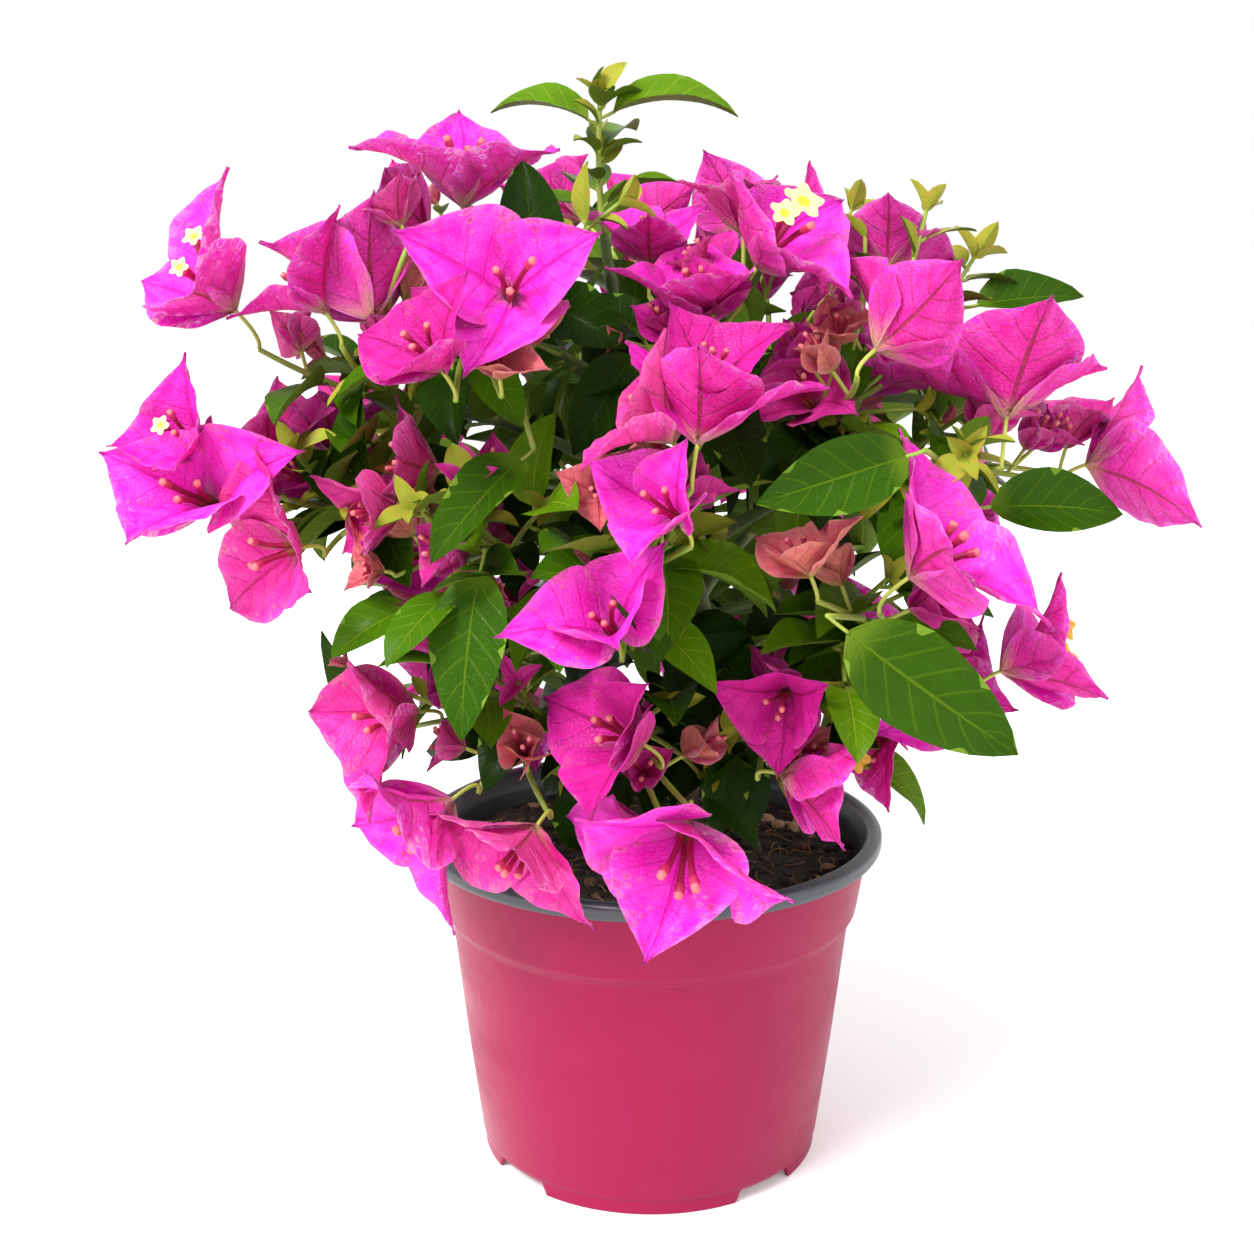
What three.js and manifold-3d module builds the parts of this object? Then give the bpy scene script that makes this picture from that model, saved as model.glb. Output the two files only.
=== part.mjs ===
// A bougainvillea in a round nursery pot, in millimetres, +Z up. The origin is the middle of the
// pot's underside on the floor. "side" is an angle about the pot's axis: 0 is the front (-Y) and
// 90 is the right (+X). "out" is a distance from that axis, and "high" a height above the floor.
import * as THREE from "three";
import { mergeVertices } from "three/addons/utils/BufferGeometryUtils.js";
import Module from "manifold-3d";

const wasm = await Module();
wasm.setup();

const GAP = 0.3; // clearance between pieces that touch
const SLIVER = 0.01; // edges this short are closed up after joining
const MERGE = 1e-3; // points nearer than this are one

// The pot: a pink wall with a collar, and a black rolled rim with its short lining.
const POT_SEGMENTS = 36;
const WALL = 1.4;
const FOOT_R = 55.4;
const FOOT_HIGH = 4.6;
const BODY_BOTTOM_R = 56.2;
const BODY_TOP_R = 65.0;
const STEP_HIGH = 80.6; // where the collar's step begins, and where it ends
const STEP_TOP = 83.0;
const STEP_EASE = 0.8;
const COLLAR_BOTTOM_R = 67.2;
const COLLAR_TOP_R = 70.6;
const COLLAR_HIGH = 104.0;
const RIM_R = 75.0;
const RIM_HIGH = 110.0;
const RIM_THICK = 5.6;
const RIM_ROUND = 1.2;
const LINING = 1.0;
const LINING_DEEP = 20.0;
const NOTCHES = 4;
const NOTCH_ANGLE = 23; // degrees of the foot's round that one drainage notch takes
const FIRST_NOTCH_SIDE = 41;
const NOTCH_DEEP = 12;
const NOTCH_BAR = 0.4; // what a notch leaves under the pot's floor
const DRAIN_R = 4.5;
const DRAIN_OUT = 36;
const SOIL_HIGH = 97.5;
const SOIL_MOUND = 1.6; // how far the middle stands above the edge
const MOUND_R = 40;
const SOIL_SLACK = 1;
const SOIL_SEGMENTS = 24;

// The trunk from the soil to its fork, and the leader from the fork to the top shoot.
const TRUNK_FOOT = [10, 4];
const TRUNK_BEND = [16, 3, 140];
const FORK = [17, 0, 168];
const TRUNK_SIDES = 10;
const TRUNK_FLARE_R = 8.2;
const TRUNK_R = 4.8;
const FORK_R = 3.7;
const FLARE_HIGH = 14;
const FLARE_FADE = 2.5;
const LEADER_RISE = 22; // how long the leader keeps the trunk's direction
const LEADER_BEND = [-6, -8, 232];
const LEADER_TIP = [-14.5, -5, 296];
const LEADER_TIP_R = 1.5;

// Limbs and twigs.
const LEADER_SIDES = 6;
const LIMB_STEPS = 6; // rings along the trunk and the leader
const LIMB_CLEAR = 0.5; // how far the boughs start from the trunk's skin
const BOUGH_SIDES = 4;
const BOUGH_R = 2.3;
const BOUGH_TIP_R = 1.25;
const BOUGH_ARCH = 0.14; // rise of a bough's middle, as a share of its length
const STEM_LONG = 9; // the stem that a mass stands on
const TWIG_R = 1.1;
const TWIG_REACH = 0.45; // how long a twig keeps its first direction, as a share of its length
const TOP_TIP = [-15.5, -5, 336];
const TOP_TIP_R = 0.8;

// Blooms: three bracts round a bundle of flower tubes. Sizes are shares of a bract's length.
const BRACT_WIDE = 0.84;
const BRACT_THICK = 2; // in mm, at the bloom's middle
const BRACT_OPEN = 38; // degrees between a bract's midrib and the bloom's axis
const BRACT_CUP = 0.02; // rise of the edges
const BRACT_BEND = 0.1; // fall of the tip
const BRACT_OUTLINE = [[0.42, -0.92], [0.76, -0.64], [1, 0], [0.76, 0.64], [0.42, 0.92]];
const NOTCH_OUT = 0.13; // from the bloom's axis to the notch between two bracts, and its lift
const NOTCH_LIFT = 0.05;
const TUBE_LONG = 0.62;
const TUBE_R = 1.25;
const PEDICEL_R = 0.6;
const BLOOM_FAN = 0.05; // how far the blooms of a spray turn from its face, for each mm of spacing
const BLOOM_BACK = 0.3; // a bloom's base behind the middle of its spray
const BLOOM_LEAST = 0.94; // the smallest bloom of a spray, and the spread above it
const BLOOM_SPREAD = 0.14;
const NODE_BACK = 0.55; // the twig's end behind the middle of its spray, and below it
const NODE_DROP = 0.12;

// Leaves and the shoots that fill a mass.
const LEAF_THICK = 0.8;
const LEAF_WIDE = 0.52; // shares of the leaf's length
const LEAF_CUP = 0.12;
const LEAF_BEND = -0.12;
const LEAF_OUTLINE = [[0.24, 0.86], [0.62, 0.78]];
const LEAF_LEAN = 0.45; // how far a leaf's face leans outward from upright
const LARGE_LEAN = 1.6; // the same for the large leaves
const LEAF_LEAST = 41; // the shortest leaf, and the spread above it
const LEAF_SPREAD = 14;
const ROOT_SUNK = 0.6;
const SHOOTS = 4; // to a mass
const SHOOT_FAN = 150; // degrees that the shoots of a mass spread over
const SHOOT_LEAST = 20;
const SHOOT_SPREAD = 18;
const SHOOT_LEAVES = 3;
const LEAF_TURN = 137; // degrees from one leaf of a shoot to the next
const DENSE = 200; // height about which the blooms of the far side look up or down

const PINK = 0xc73a68;
const BLACK = 0x3b4044;
const EARTH = 0x2a1d14;
const BARK = 0x5b4632;
const GREEN_STEM = 0x55702c;
const MASS_COLOURS = [0xd42aa6, 0xc8249a, 0xdf3fb4, 0xbf2a92];

// The masses. Each row under "sprays" is one spray of blooms on its own twig:
// [side, out, high, blooms, spacing, turn, face side, face up, bract length, leaves]
// "spacing" sets the blooms about the spray's middle, the first at "turn" degrees from level.
// Each row under "leaves" is one large leaf: [side, out, high, heading side, heading up, length].
// "from" is the height at which the mass's bough leaves the trunk or the leader.
const MASSES = [
  {
    name: "mass_high_left", from: 212, hub: [-72, 62, 244], seed: 11,
    sprays: [
      [-75, 132, 283, 1, 0, 84, -60, 46, 38, 2],
      [-67, 106, 282, 1, 0, 60, -91, 55, 29, 1],
      [-67, 90, 282, 1, 0, 90, -144, 56, 38, 1],
      [-61, 83, 304, 1, 0, 30, -97, 70, 18, 1],
    ],
    leaves: [],
  },
  {
    name: "mass_high_middle", from: 238, hub: [-50, 36, 262], seed: 12,
    sprays: [
      [-66, 59, 315, 1, 0, 23, 67, 85, 37, 1],
      [-25, 89, 284, 1, 0, -90, 5, 26, 33, 1],
      [-32, 111, 268, 1, 0, 50, -33, 41, 29, 2],
      [-25, 97, 264, 1, 0, 0, -10, 60, 15, 0],
    ],
    leaves: [[-24, 80, 240, -46, -30, 40]],
  },
  {
    name: "mass_high_front", from: 246, hub: [8, 32, 258], seed: 13,
    sprays: [
      [-2, 35, 296, 1, 0, -90, 0, 80, 26, 1],
      [11, 61, 281, 1, 0, 180, 9, 78, 31, 1],
      [28, 70, 295, 1, 0, 30, 51, 49, 33, 1],
      [33, 46, 303, 1, 0, 90, 180, 82, 23, 0],
    ],
    leaves: [],
  },
  {
    name: "mass_high_right", from: 222, hub: [46, 46, 242], seed: 24,
    sprays: [
      [61, 75, 293, 1, 0, 90, 177, 57, 25, 3],
      [42, 96, 271, 1, 0, 148, 128, 28, 30, 1],
      [50, 69, 256, 2, 13, 30, 0, 70, 26, 2],
      [40, 78, 272, 1, 0, 90, 20, 75, 16, 0],
    ],
    leaves: [[66, 96, 276, 100, 8, 34]],
  },
  {
    name: "mass_right", from: 196, hub: [66, 66, 226], seed: 15,
    sprays: [
      [61, 113, 258, 1, 0, 0, 156, 70, 39, 2],
      [78, 140, 233, 1, 0, 80, 104, 15, 34, 2],
      [84, 128, 240, 1, 0, 90, 60, 75, 24, 1],
    ],
    leaves: [[56, 107, 222, 95, 2, 40], [37, 115, 242, -72, -14, 42]],
  },
  {
    name: "mass_right_low", from: 176, hub: [52, 62, 188], seed: 16,
    sprays: [
      [38, 122, 216, 1, 0, 55, 62, 37, 40, 2],
      [63, 122, 178, 1, 0, 90, 85, 26, 32, 1],
      [66, 94, 162, 2, 14, 0, 62, 10, 27, 1],
      [23, 98, 214, 1, 0, 60, -60, 62, 21, 1],
    ],
    leaves: [[24, 109, 200, 77, -37, 56]],
  },
  {
    name: "mass_skirt_right", from: 134, hub: [38, 42, 150], seed: 17,
    sprays: [
      [24, 85, 171, 1, 0, 25, -19, -10, 26, 1],
      [30, 88, 147, 1, 0, 90, 72, -11, 29, 1],
      [54, 82, 150, 1, 0, 200, -40, -16, 24, 1],
    ],
    leaves: [],
  },
  {
    name: "mass_skirt_front", from: 126, hub: [-2, 40, 152], seed: 18,
    sprays: [
      [-6, 97, 168, 1, 0, 60, -51, 31, 33, 1],
      [4, 106, 137, 1, 0, -97, -8, -31, 38, 0],
      [-6, 88, 135, 1, 0, 60, -60, -10, 28, 0],
    ],
    leaves: [],
  },
  {
    name: "mass_front", from: 158, hub: [0, 56, 198], seed: 19,
    sprays: [
      [-7, 107, 200, 1, 0, 62, -18, 38, 30, 2],
      [1, 109, 230, 1, 0, 50, -32, 33, 29, 2],
      [7, 98, 254, 1, 0, 30, 106, 80, 32, 1],
      [0, 97, 252, 1, 0, 60, -93, 60, 27, 1],
      [9, 93, 264, 1, 0, 130, 0, 63, 26, 0],
      [-9, 98, 232, 1, 0, 40, -10, 20, 13, 0],
    ],
    leaves: [],
  },
  {
    name: "mass_skirt_left", from: 142, hub: [-34, 46, 158], seed: 20,
    sprays: [
      [-51, 98, 162, 1, 0, 180, -50, 2, 34, 1],
      [-41, 100, 134, 1, 0, 60, -57, -31, 39, 1],
      [-22, 99, 132, 1, 0, 55, -33, -32, 33, 1],
    ],
    leaves: [[-66, 84, 150, -74, 52, 34]],
  },
  {
    name: "mass_left", from: 186, hub: [-70, 70, 214], seed: 21,
    sprays: [
      [-66, 142, 225, 1, 0, 155, -24, 22, 37, 1],
      [-70, 142, 241, 1, 0, 90, -42, 38, 28, 1],
      [-77, 114, 236, 1, 0, 30, -60, 50, 30, 2],
      [-76, 98, 239, 1, 0, 50, -142, 74, 24, 1],
      [-58, 125, 210, 1, 0, 100, -48, -4, 31, 1],
    ],
    leaves: [],
  },
  {
    name: "mass_left_front", from: 174, hub: [-40, 52, 206], seed: 22,
    sprays: [
      [-51, 100, 222, 1, 0, 0, -80, 0, 26, 2],
      [-52, 87, 233, 1, 0, 0, -82, 12, 27, 1],
      [-55, 79, 206, 1, 0, 90, -40, 10, 24, 1],
      [-29, 94, 202, 1, 0, 20, -20, 10, 13, 1],
      [-49, 104, 206, 1, 0, 0, -60, 10, 13, 0],
    ],
    leaves: [[-29, 94, 214, -28, -66, 46]],
  },
];

// The far side of the crown, which repeats the front's kinds of mass in three tiers:
// [name, how many, first side, last side, hub out, hub high, spray out, spray high, from, seed]
const BACK_TIERS = [
  ["mass_back_low", 3, 108, 252, 44, 160, 90, 156, 150, 40],
  ["mass_back_middle", 4, 102, 262, 58, 212, 111, 218, 184, 50],
  ["mass_back_high", 3, 112, 250, 40, 256, 78, 284, 232, 60],
];
const BACK_STEP = 6; // each mass of a tier leaves the trunk this much higher than the last
const BACK_SPRAYS = [-11, 17]; // the sprays of a mass, from the tier's height
const BACK_SPACING = 14;

// The leaves of the top shoot: [share of the way up it, heading side, heading up, length].
const TOP_LEAVES = [
  [0.12, -50, 8, 26], [0.2, 75, 22, 26], [0.3, 200, 10, 30], [0.55, 100, 30, 15],
  [0.6, 160, 20, 30], [0.8, -88, 6, 34], [0.85, 84, -2, 43], [0.9, 10, 20, 16],
  [0.95, -60, 62, 11], [0.97, 60, 50, 14],
];

// Point and direction helpers.
const radians = (degrees) => (degrees * Math.PI) / 180;
const vec = (x, y, z) => new THREE.Vector3(x, y, z);
const along = (point, direction, distance) => point.clone().addScaledVector(direction, distance);
const toward = (from, to) => to.clone().sub(from).normalize();
const UP = vec(0, 0, 1);

function polar(side, out, high) {
  const a = radians(side);
  return vec(out * Math.sin(a), -out * Math.cos(a), high);
}

// A unit direction that looks to a side and so many degrees up.
function heading(side, up) {
  const e = radians(up);
  return polar(side, Math.cos(e), Math.sin(e));
}

// A unit direction part way between two at right angles, so many degrees from the first.
function between(first, second, angle) {
  const a = radians(angle);
  return first.clone().multiplyScalar(Math.cos(a)).addScaledVector(second, Math.sin(a));
}

// The unit direction across an axis, so many degrees from level, for one who looks at its tip.
function spoke(axis, angle) {
  const right = UP.clone().cross(axis).normalize();
  return between(right, axis.clone().cross(right), angle);
}

// Seeded numbers from 0 to 1, the same each time.
function dice(seed) {
  let state = seed;
  return () => {
    state = (Math.imul(state, 1664525) + 1013904223) >>> 0;
    return state / 2 ** 32;
  };
}

// A closed geometry as a solid for joining and cutting, with points nearer than "merge" made one.
function solidOf(geometry, merge = MERGE / 10) {
  const bare = new THREE.BufferGeometry().setAttribute("position", geometry.getAttribute("position"));
  const merged = mergeVertices(bare.setIndex(geometry.index), merge);
  return new wasm.Manifold(
    new wasm.Mesh({
      numProp: 3,
      vertProperties: merged.attributes.position.array,
      triVerts: new Uint32Array(merged.index.array),
    }),
  );
}

function solidFrom(points, triangles) {
  return solidOf(new THREE.BufferGeometry().setFromPoints(points).setIndex(triangles.flat()));
}

function geometryOf(solid) {
  const { numProp, numVert, vertProperties, triVerts } = solid.getMesh();
  const points = Array.from({ length: numVert }, (_, i) =>
    vec(...vertProperties.subarray(i * numProp, i * numProp + 3)));
  return new THREE.BufferGeometry().setFromPoints(points).setIndex([...triVerts]);
}

// The largest body of a solid, with its hollows filled and its scraps dropped.
function largest(solid) {
  return solid.decompose().sort((a, b) => b.volume() - a.volume())[0];
}

// A tapering limb or twig: rings of a few sides carried along a curve, square to it.
function limb(curve, steps, sides, radiusAt) {
  const points = [];
  const triangles = [];
  let right = spoke(curve.getTangent(0), 0);
  if (right.length() < 0.5) right = vec(1, 0, 0);
  for (let i = 0; i <= steps; i++) {
    const axis = curve.getTangent(i / steps);
    right = right.addScaledVector(axis, -right.dot(axis)).normalize();
    const upward = axis.clone().cross(right);
    for (let k = 0; k < sides; k++) {
      const outward = between(right, upward, (360 * k) / sides);
      points.push(along(curve.getPoint(i / steps), outward, radiusAt(i / steps)));
    }
  }
  for (let i = 0; i < steps; i++) {
    for (let k = 0; k < sides; k++) {
      const a = i * sides + k;
      const b = i * sides + ((k + 1) % sides);
      triangles.push([a, b, b + sides], [a, b + sides, a + sides]);
    }
  }
  const last = steps * sides;
  for (let k = 1; k < sides - 1; k++) {
    triangles.push([0, k + 1, k], [last, last + k, last + k + 1]);
  }
  return solidFrom(points, triangles);
}

// A smooth twig that leaves its start in one direction and reaches its end.
function twigCurve(start, direction, end) {
  const handle = along(start, direction, TWIG_REACH * start.distanceTo(end));
  return new THREE.QuadraticBezierCurve3(start, handle, end);
}

// A leaf: an outline about a midrib, thickest in the middle, its edges raised toward the face and
// its tip bent down. The face leans outward from the pot's axis.
function leaf(root, direction, length, lean = LEAF_LEAN) {
  const outward = vec(root.x, root.y, 0).normalize();
  const side = direction.clone().cross(along(UP, outward, lean)).normalize();
  const normal = side.clone().cross(direction);
  const place = (t, w, off) => {
    const lift = (LEAF_CUP * LEAF_WIDE * Math.abs(w) + LEAF_BEND * t * t) * length;
    const edge = along(along(root, direction, length * t), side, (w * LEAF_WIDE * length) / 2);
    return along(edge, normal, lift + off);
  };
  const left = LEAF_OUTLINE.map(([t, w]) => place(t, w, 0));
  const right = LEAF_OUTLINE.map(([t, w]) => place(t, -w, 0)).reverse();
  const rim = [place(0, 0, 0), ...left, place(1, 0, 0), ...right];
  const faces = [place(0.5, 0, LEAF_THICK / 2), place(0.5, 0, -LEAF_THICK / 2)];
  const triangles = rim.flatMap((_, k) => {
    const next = (k + 1) % rim.length;
    return [[k, next, rim.length], [next, k, rim.length + 1]];
  });
  return solidFrom([...rim, ...faces], triangles);
}

// One bloom as one closed mesh: its pedicel, three bracts that lean outward from the bloom's face
// and share a rim, and the bundle of flower tubes in front of them.
function bloom(start, centre, face, length, roll) {
  const points = [];
  const triangles = [];
  const ring = (middle, axis, radius) => {
    for (let k = 0; k < 3; k++) points.push(along(middle, spoke(axis, roll + 120 * k), radius));
    return points.length - 3;
  };
  const sleeve = (low, high) => {
    for (let k = 0; k < 3; k++) {
      const n = (k + 1) % 3;
      triangles.push([low + k, low + n, high + n], [low + k, high + n, high + k]);
    }
  };
  const back = along(centre, face, -BRACT_THICK / 2);
  const foot = ring(start, toward(start, back), PEDICEL_R);
  const behind = ring(back, face, PEDICEL_R * 1.3);
  const before = ring(along(centre, face, BRACT_THICK / 2), face, TUBE_R);
  const mouth = ring(along(centre, face, length * TUBE_LONG), face, TUBE_R * 1.5);
  sleeve(foot, behind);
  sleeve(before, mouth);
  triangles.push([foot, foot + 2, foot + 1], [mouth, mouth + 1, mouth + 2]);
  for (let k = 0; k < 3; k++) {
    const outward = spoke(face, roll + 120 * k);
    const direction = between(face, outward, BRACT_OPEN);
    const inner = between(face, outward, BRACT_OPEN - 90);
    const level = face.clone().cross(outward);
    const notch = along(centre, face, NOTCH_LIFT * length);
    points.push(along(notch, spoke(face, roll + 120 * k - 60), NOTCH_OUT * length));
    for (const [t, w] of BRACT_OUTLINE) {
      const edge = along(along(centre, direction, t * length), level, (w * BRACT_WIDE * length) / 2);
      points.push(along(edge, inner, (BRACT_CUP * Math.abs(w) - BRACT_BEND * t * t) * length));
    }
  }
  const rim = mouth + 3;
  const each = BRACT_OUTLINE.length + 1;
  for (let k = 0; k < 3; k++) {
    const n = (k + 1) % 3;
    for (let j = 0; j < each; j++) {
      const a = rim + k * each + j;
      const b = rim + ((k * each + j + 1) % (3 * each));
      triangles.push([a, b, before + k], [b, a, behind + k]);
    }
    triangles.push([before + k, rim + n * each, before + n], [rim + n * each, behind + k, behind + n]);
  }
  return solidFrom(points, triangles);
}

// Pot.
function lathe(profile, segments) {
  const points = profile.map((p) => new THREE.Vector2(...p));
  return solidOf(new THREE.LatheGeometry(points, segments).rotateX(Math.PI / 2));
}
const collarInner = (high) =>
  THREE.MathUtils.mapLinear(high, STEP_TOP, COLLAR_HIGH, COLLAR_BOTTOM_R, COLLAR_TOP_R) - WALL;

function potBody() {
  let solid = lathe([
    [FOOT_R - WALL, 0], [FOOT_R, 0], [FOOT_R, FOOT_HIGH], [BODY_BOTTOM_R, FOOT_HIGH + STEP_EASE],
    [BODY_TOP_R, STEP_HIGH], [COLLAR_BOTTOM_R, STEP_TOP], [COLLAR_TOP_R, COLLAR_HIGH],
    [COLLAR_TOP_R - WALL, COLLAR_HIGH], [COLLAR_BOTTOM_R - WALL, STEP_TOP],
    [BODY_TOP_R - WALL, STEP_HIGH], [BODY_BOTTOM_R - WALL, FOOT_HIGH + WALL],
    [0, FOOT_HIGH + WALL], [0, FOOT_HIGH], [FOOT_R - WALL, FOOT_HIGH], [FOOT_R - WALL, 0],
  ], POT_SEGMENTS);
  const notchWide = 2 * FOOT_R * Math.sin(radians(NOTCH_ANGLE / 2));
  for (let i = 0; i < NOTCHES; i++) {
    const side = FIRST_NOTCH_SIDE + (360 / NOTCHES) * i;
    const notch = new THREE.BoxGeometry(notchWide, NOTCH_DEEP, 2 * (FOOT_HIGH - NOTCH_BAR));
    const drain = new THREE.CylinderGeometry(DRAIN_R, DRAIN_R, 4 * FOOT_HIGH, 12).rotateX(Math.PI / 2);
    for (const [cut, out] of [[notch, FOOT_R], [drain, DRAIN_OUT]]) {
      const place = polar(side, out, 0);
      solid = solid.subtract(solidOf(cut.rotateZ(radians(side)).translate(place.x, place.y, 0)));
    }
  }
  return solid;
}

function potRim() {
  const bottom = RIM_HIGH - LINING_DEEP;
  const under = COLLAR_HIGH + GAP;
  const skin = COLLAR_TOP_R - WALL - GAP; // the lining's outside at the collar's top
  return lathe([
    [skin, under], [RIM_R - RIM_ROUND / 2, under], [RIM_R, under + RIM_ROUND],
    [RIM_R, RIM_HIGH - RIM_ROUND], [RIM_R - RIM_ROUND, RIM_HIGH], [RIM_R - 2 * RIM_ROUND, RIM_HIGH],
    [RIM_R - RIM_THICK + RIM_ROUND, RIM_HIGH - RIM_ROUND], [skin - LINING, under],
    [collarInner(bottom) - GAP - LINING, bottom], [collarInner(bottom) - GAP, bottom], [skin, under],
  ], POT_SEGMENTS);
}

function soil() {
  const floor = FOOT_HIGH + WALL + GAP;
  const bottom = RIM_HIGH - LINING_DEEP;
  const inside = LINING + 3 * GAP; // from the collar's inner face to the soil, past the lining
  const top = SOIL_HIGH + SOIL_MOUND;
  return lathe([
    [0, floor], [BODY_BOTTOM_R - WALL - SOIL_SLACK, floor], [BODY_TOP_R - WALL - SOIL_SLACK, STEP_HIGH - 1],
    [collarInner(bottom) - inside, bottom - 1], [collarInner(SOIL_HIGH) - inside, SOIL_HIGH],
    [MOUND_R, top], [0, top], [0, floor],
  ], SOIL_SEGMENTS);
}

// The trunk and its leader, and the same two a little larger, which the boughs are cut by.
const trunkStart = vec(...TRUNK_FOOT, SOIL_HIGH + SOIL_MOUND + GAP);
const trunkCurve = new THREE.CubicBezierCurve3(
  trunkStart, along(trunkStart, UP, FLARE_HIGH), vec(...TRUNK_BEND), vec(...FORK),
);
const forkAxis = trunkCurve.getTangent(1);
const leaderStart = along(vec(...FORK), forkAxis, GAP);
const leaderCurve = new THREE.CubicBezierCurve3(
  leaderStart, along(leaderStart, forkAxis, LEADER_RISE), vec(...LEADER_BEND), vec(...LEADER_TIP),
);
const trunkLong = trunkCurve.getLength();
const flare = (t) => (TRUNK_FLARE_R - TRUNK_R) * Math.exp((-FLARE_FADE * t * trunkLong) / FLARE_HIGH);
const trunkR = (t) => TRUNK_R + (FORK_R - TRUNK_R) * t + flare(t);
const leaderR = (t) => FORK_R + (LEADER_TIP_R - FORK_R) * t;
const trunkSolid = (grow) => limb(trunkCurve, LIMB_STEPS, TRUNK_SIDES, (t) => trunkR(t) + grow);
const leaderSolid = (grow) => limb(leaderCurve, LIMB_STEPS, LEADER_SIDES, (t) => leaderR(t) + grow);
const boughCut = wasm.Manifold.union([trunkSolid(LIMB_CLEAR), leaderSolid(LIMB_CLEAR)]);

// The point of the trunk or leader at a height.
function stemAt(high) {
  const curve = high < FORK[2] ? trunkCurve : leaderCurve;
  let low = 0;
  let top = 1;
  while (top - low > 1e-9) {
    const middle = (low + top) / 2;
    if (curve.getPoint(middle).z < high) low = middle;
    else top = middle;
  }
  return curve.getPoint(low);
}

// Boughs: one from the trunk or leader to each mass, arching up, cut clear of what it leaves.
function boughCurve({ from, hub }) {
  const start = stemAt(from);
  const end = polar(...hub);
  const middle = start.clone().lerp(end, 0.5);
  return new THREE.QuadraticBezierCurve3(start, along(middle, UP, BOUGH_ARCH * start.distanceTo(end)), end);
}

function bough(row) {
  const whole = limb(boughCurve(row), 4, BOUGH_SIDES, (t) => BOUGH_R + (BOUGH_TIP_R - BOUGH_R) * t);
  return largest(whole.subtract(boughCut));
}

// The rows of the far side, worked out from its tiers.
function backMasses([name, count, first, last, hubOut, hubHigh, out, high, from, seed]) {
  const width = (last - first) / count;
  return Array.from({ length: count }, (_, i) => {
    const random = dice(seed + i);
    const side = first + width * (i + 0.5);
    const sprays = BACK_SPRAYS.map((lift, k) => {
      const turn = side + width * ((k + 0.5) / BACK_SPRAYS.length - 0.5);
      const reach = out + 16 * (random() - 0.5);
      const level = high + lift + 8 * (random() - 0.5);
      const blooms = 1 + Math.floor(random() * 2);
      const up = (level - DENSE) * 0.3;
      return [turn, reach, level, blooms, BACK_SPACING, 360 * random(), turn, up, 28 + 4 * random(), 2];
    });
    return {
      name: `${name}_${i + 1}`, from: from + BACK_STEP * i, hub: [side, hubOut, hubHigh + 6 * (i % 2)],
      seed: seed + i, sprays, leaves: [],
    };
  });
}

// What has been placed so far, and whether a new piece stays clear of it. Pieces of the same mass
// may cross, but where "parents" are named the piece may cross those alone.
const placed = [];
function keep(owner, solid) {
  placed.push({ owner, solid, box: solid.boundingBox() });
}

function clear(owner, solid, parents) {
  const box = solid.boundingBox();
  return placed.every((other) => {
    if (other.owner === owner && (!parents || parents.includes(other.solid))) return true;
    const apart = [0, 1, 2].some((k) =>
      other.box.min[k] > box.max[k] + GAP || other.box.max[k] < box.min[k] - GAP);
    return apart || other.solid.minGap(solid, GAP) > 0.9 * GAP;
  });
}

// Adds a piece to a mass if it is clear of everything else.
function add(row, piece, parents) {
  const free = clear(row.name, piece, parents);
  if (free) {
    row.pieces.push(piece);
    keep(row.name, piece);
  }
  return free;
}

// The short stem of a mass, then one twig to each spray, then the spray's blooms set round its
// middle with a little chance in their size and roll.
function growSprays(row) {
  const axis = boughCurve(row).getTangent(1);
  const start = along(polar(...row.hub), axis, GAP);
  row.junction = along(start, axis, STEM_LONG);
  row.stem = limb(new THREE.LineCurve3(start, row.junction), 1, 5, () => BOUGH_TIP_R);
  row.random = dice(row.seed);
  row.pieces = [];
  row.twigs = [];
  add(row, row.stem);
  for (const [side, out, high, blooms, spacing, turn, faceSide, faceUp, length, leaves] of row.sprays) {
    const face = heading(faceSide, faceUp);
    const middle = polar(side, out, high);
    const node = along(along(middle, face, -NODE_BACK * length), UP, -NODE_DROP * length);
    const curve = twigCurve(row.junction, axis, node);
    const twig = limb(curve, 2, 3, () => TWIG_R);
    const grown = add(row, twig);
    if (grown) row.twigs.push({ curve, twig, leaves });
    const root = along(node, curve.getTangent(1), -TWIG_R);
    for (let k = 0; k < blooms; k++) {
      const shift = spoke(face, turn + (360 / blooms) * k);
      const look = along(face, shift, spacing * BLOOM_FAN).normalize();
      const centre = along(along(middle, shift, spacing), look, -BLOOM_BACK * length);
      const size = length * (BLOOM_LEAST + BLOOM_SPREAD * row.random());
      const roll = turn + (blooms > 1 ? 360 * row.random() : 0);
      if (grown) add(row, bloom(root, centre, look, size, roll));
    }
  }
}

// The large leaves, each at the end of a twig of its own.
function growLargeLeaves(row) {
  for (const [side, out, high, turn, up, length] of row.leaves) {
    const root = polar(side, out, high);
    const axis = heading(turn, up);
    const twig = limb(twigCurve(row.junction, heading(side, 10), root), 2, 3, () => TWIG_R);
    if (add(row, twig)) add(row, leaf(along(root, axis, -ROOT_SUNK), axis, length, LARGE_LEAN), [twig]);
  }
}

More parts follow.
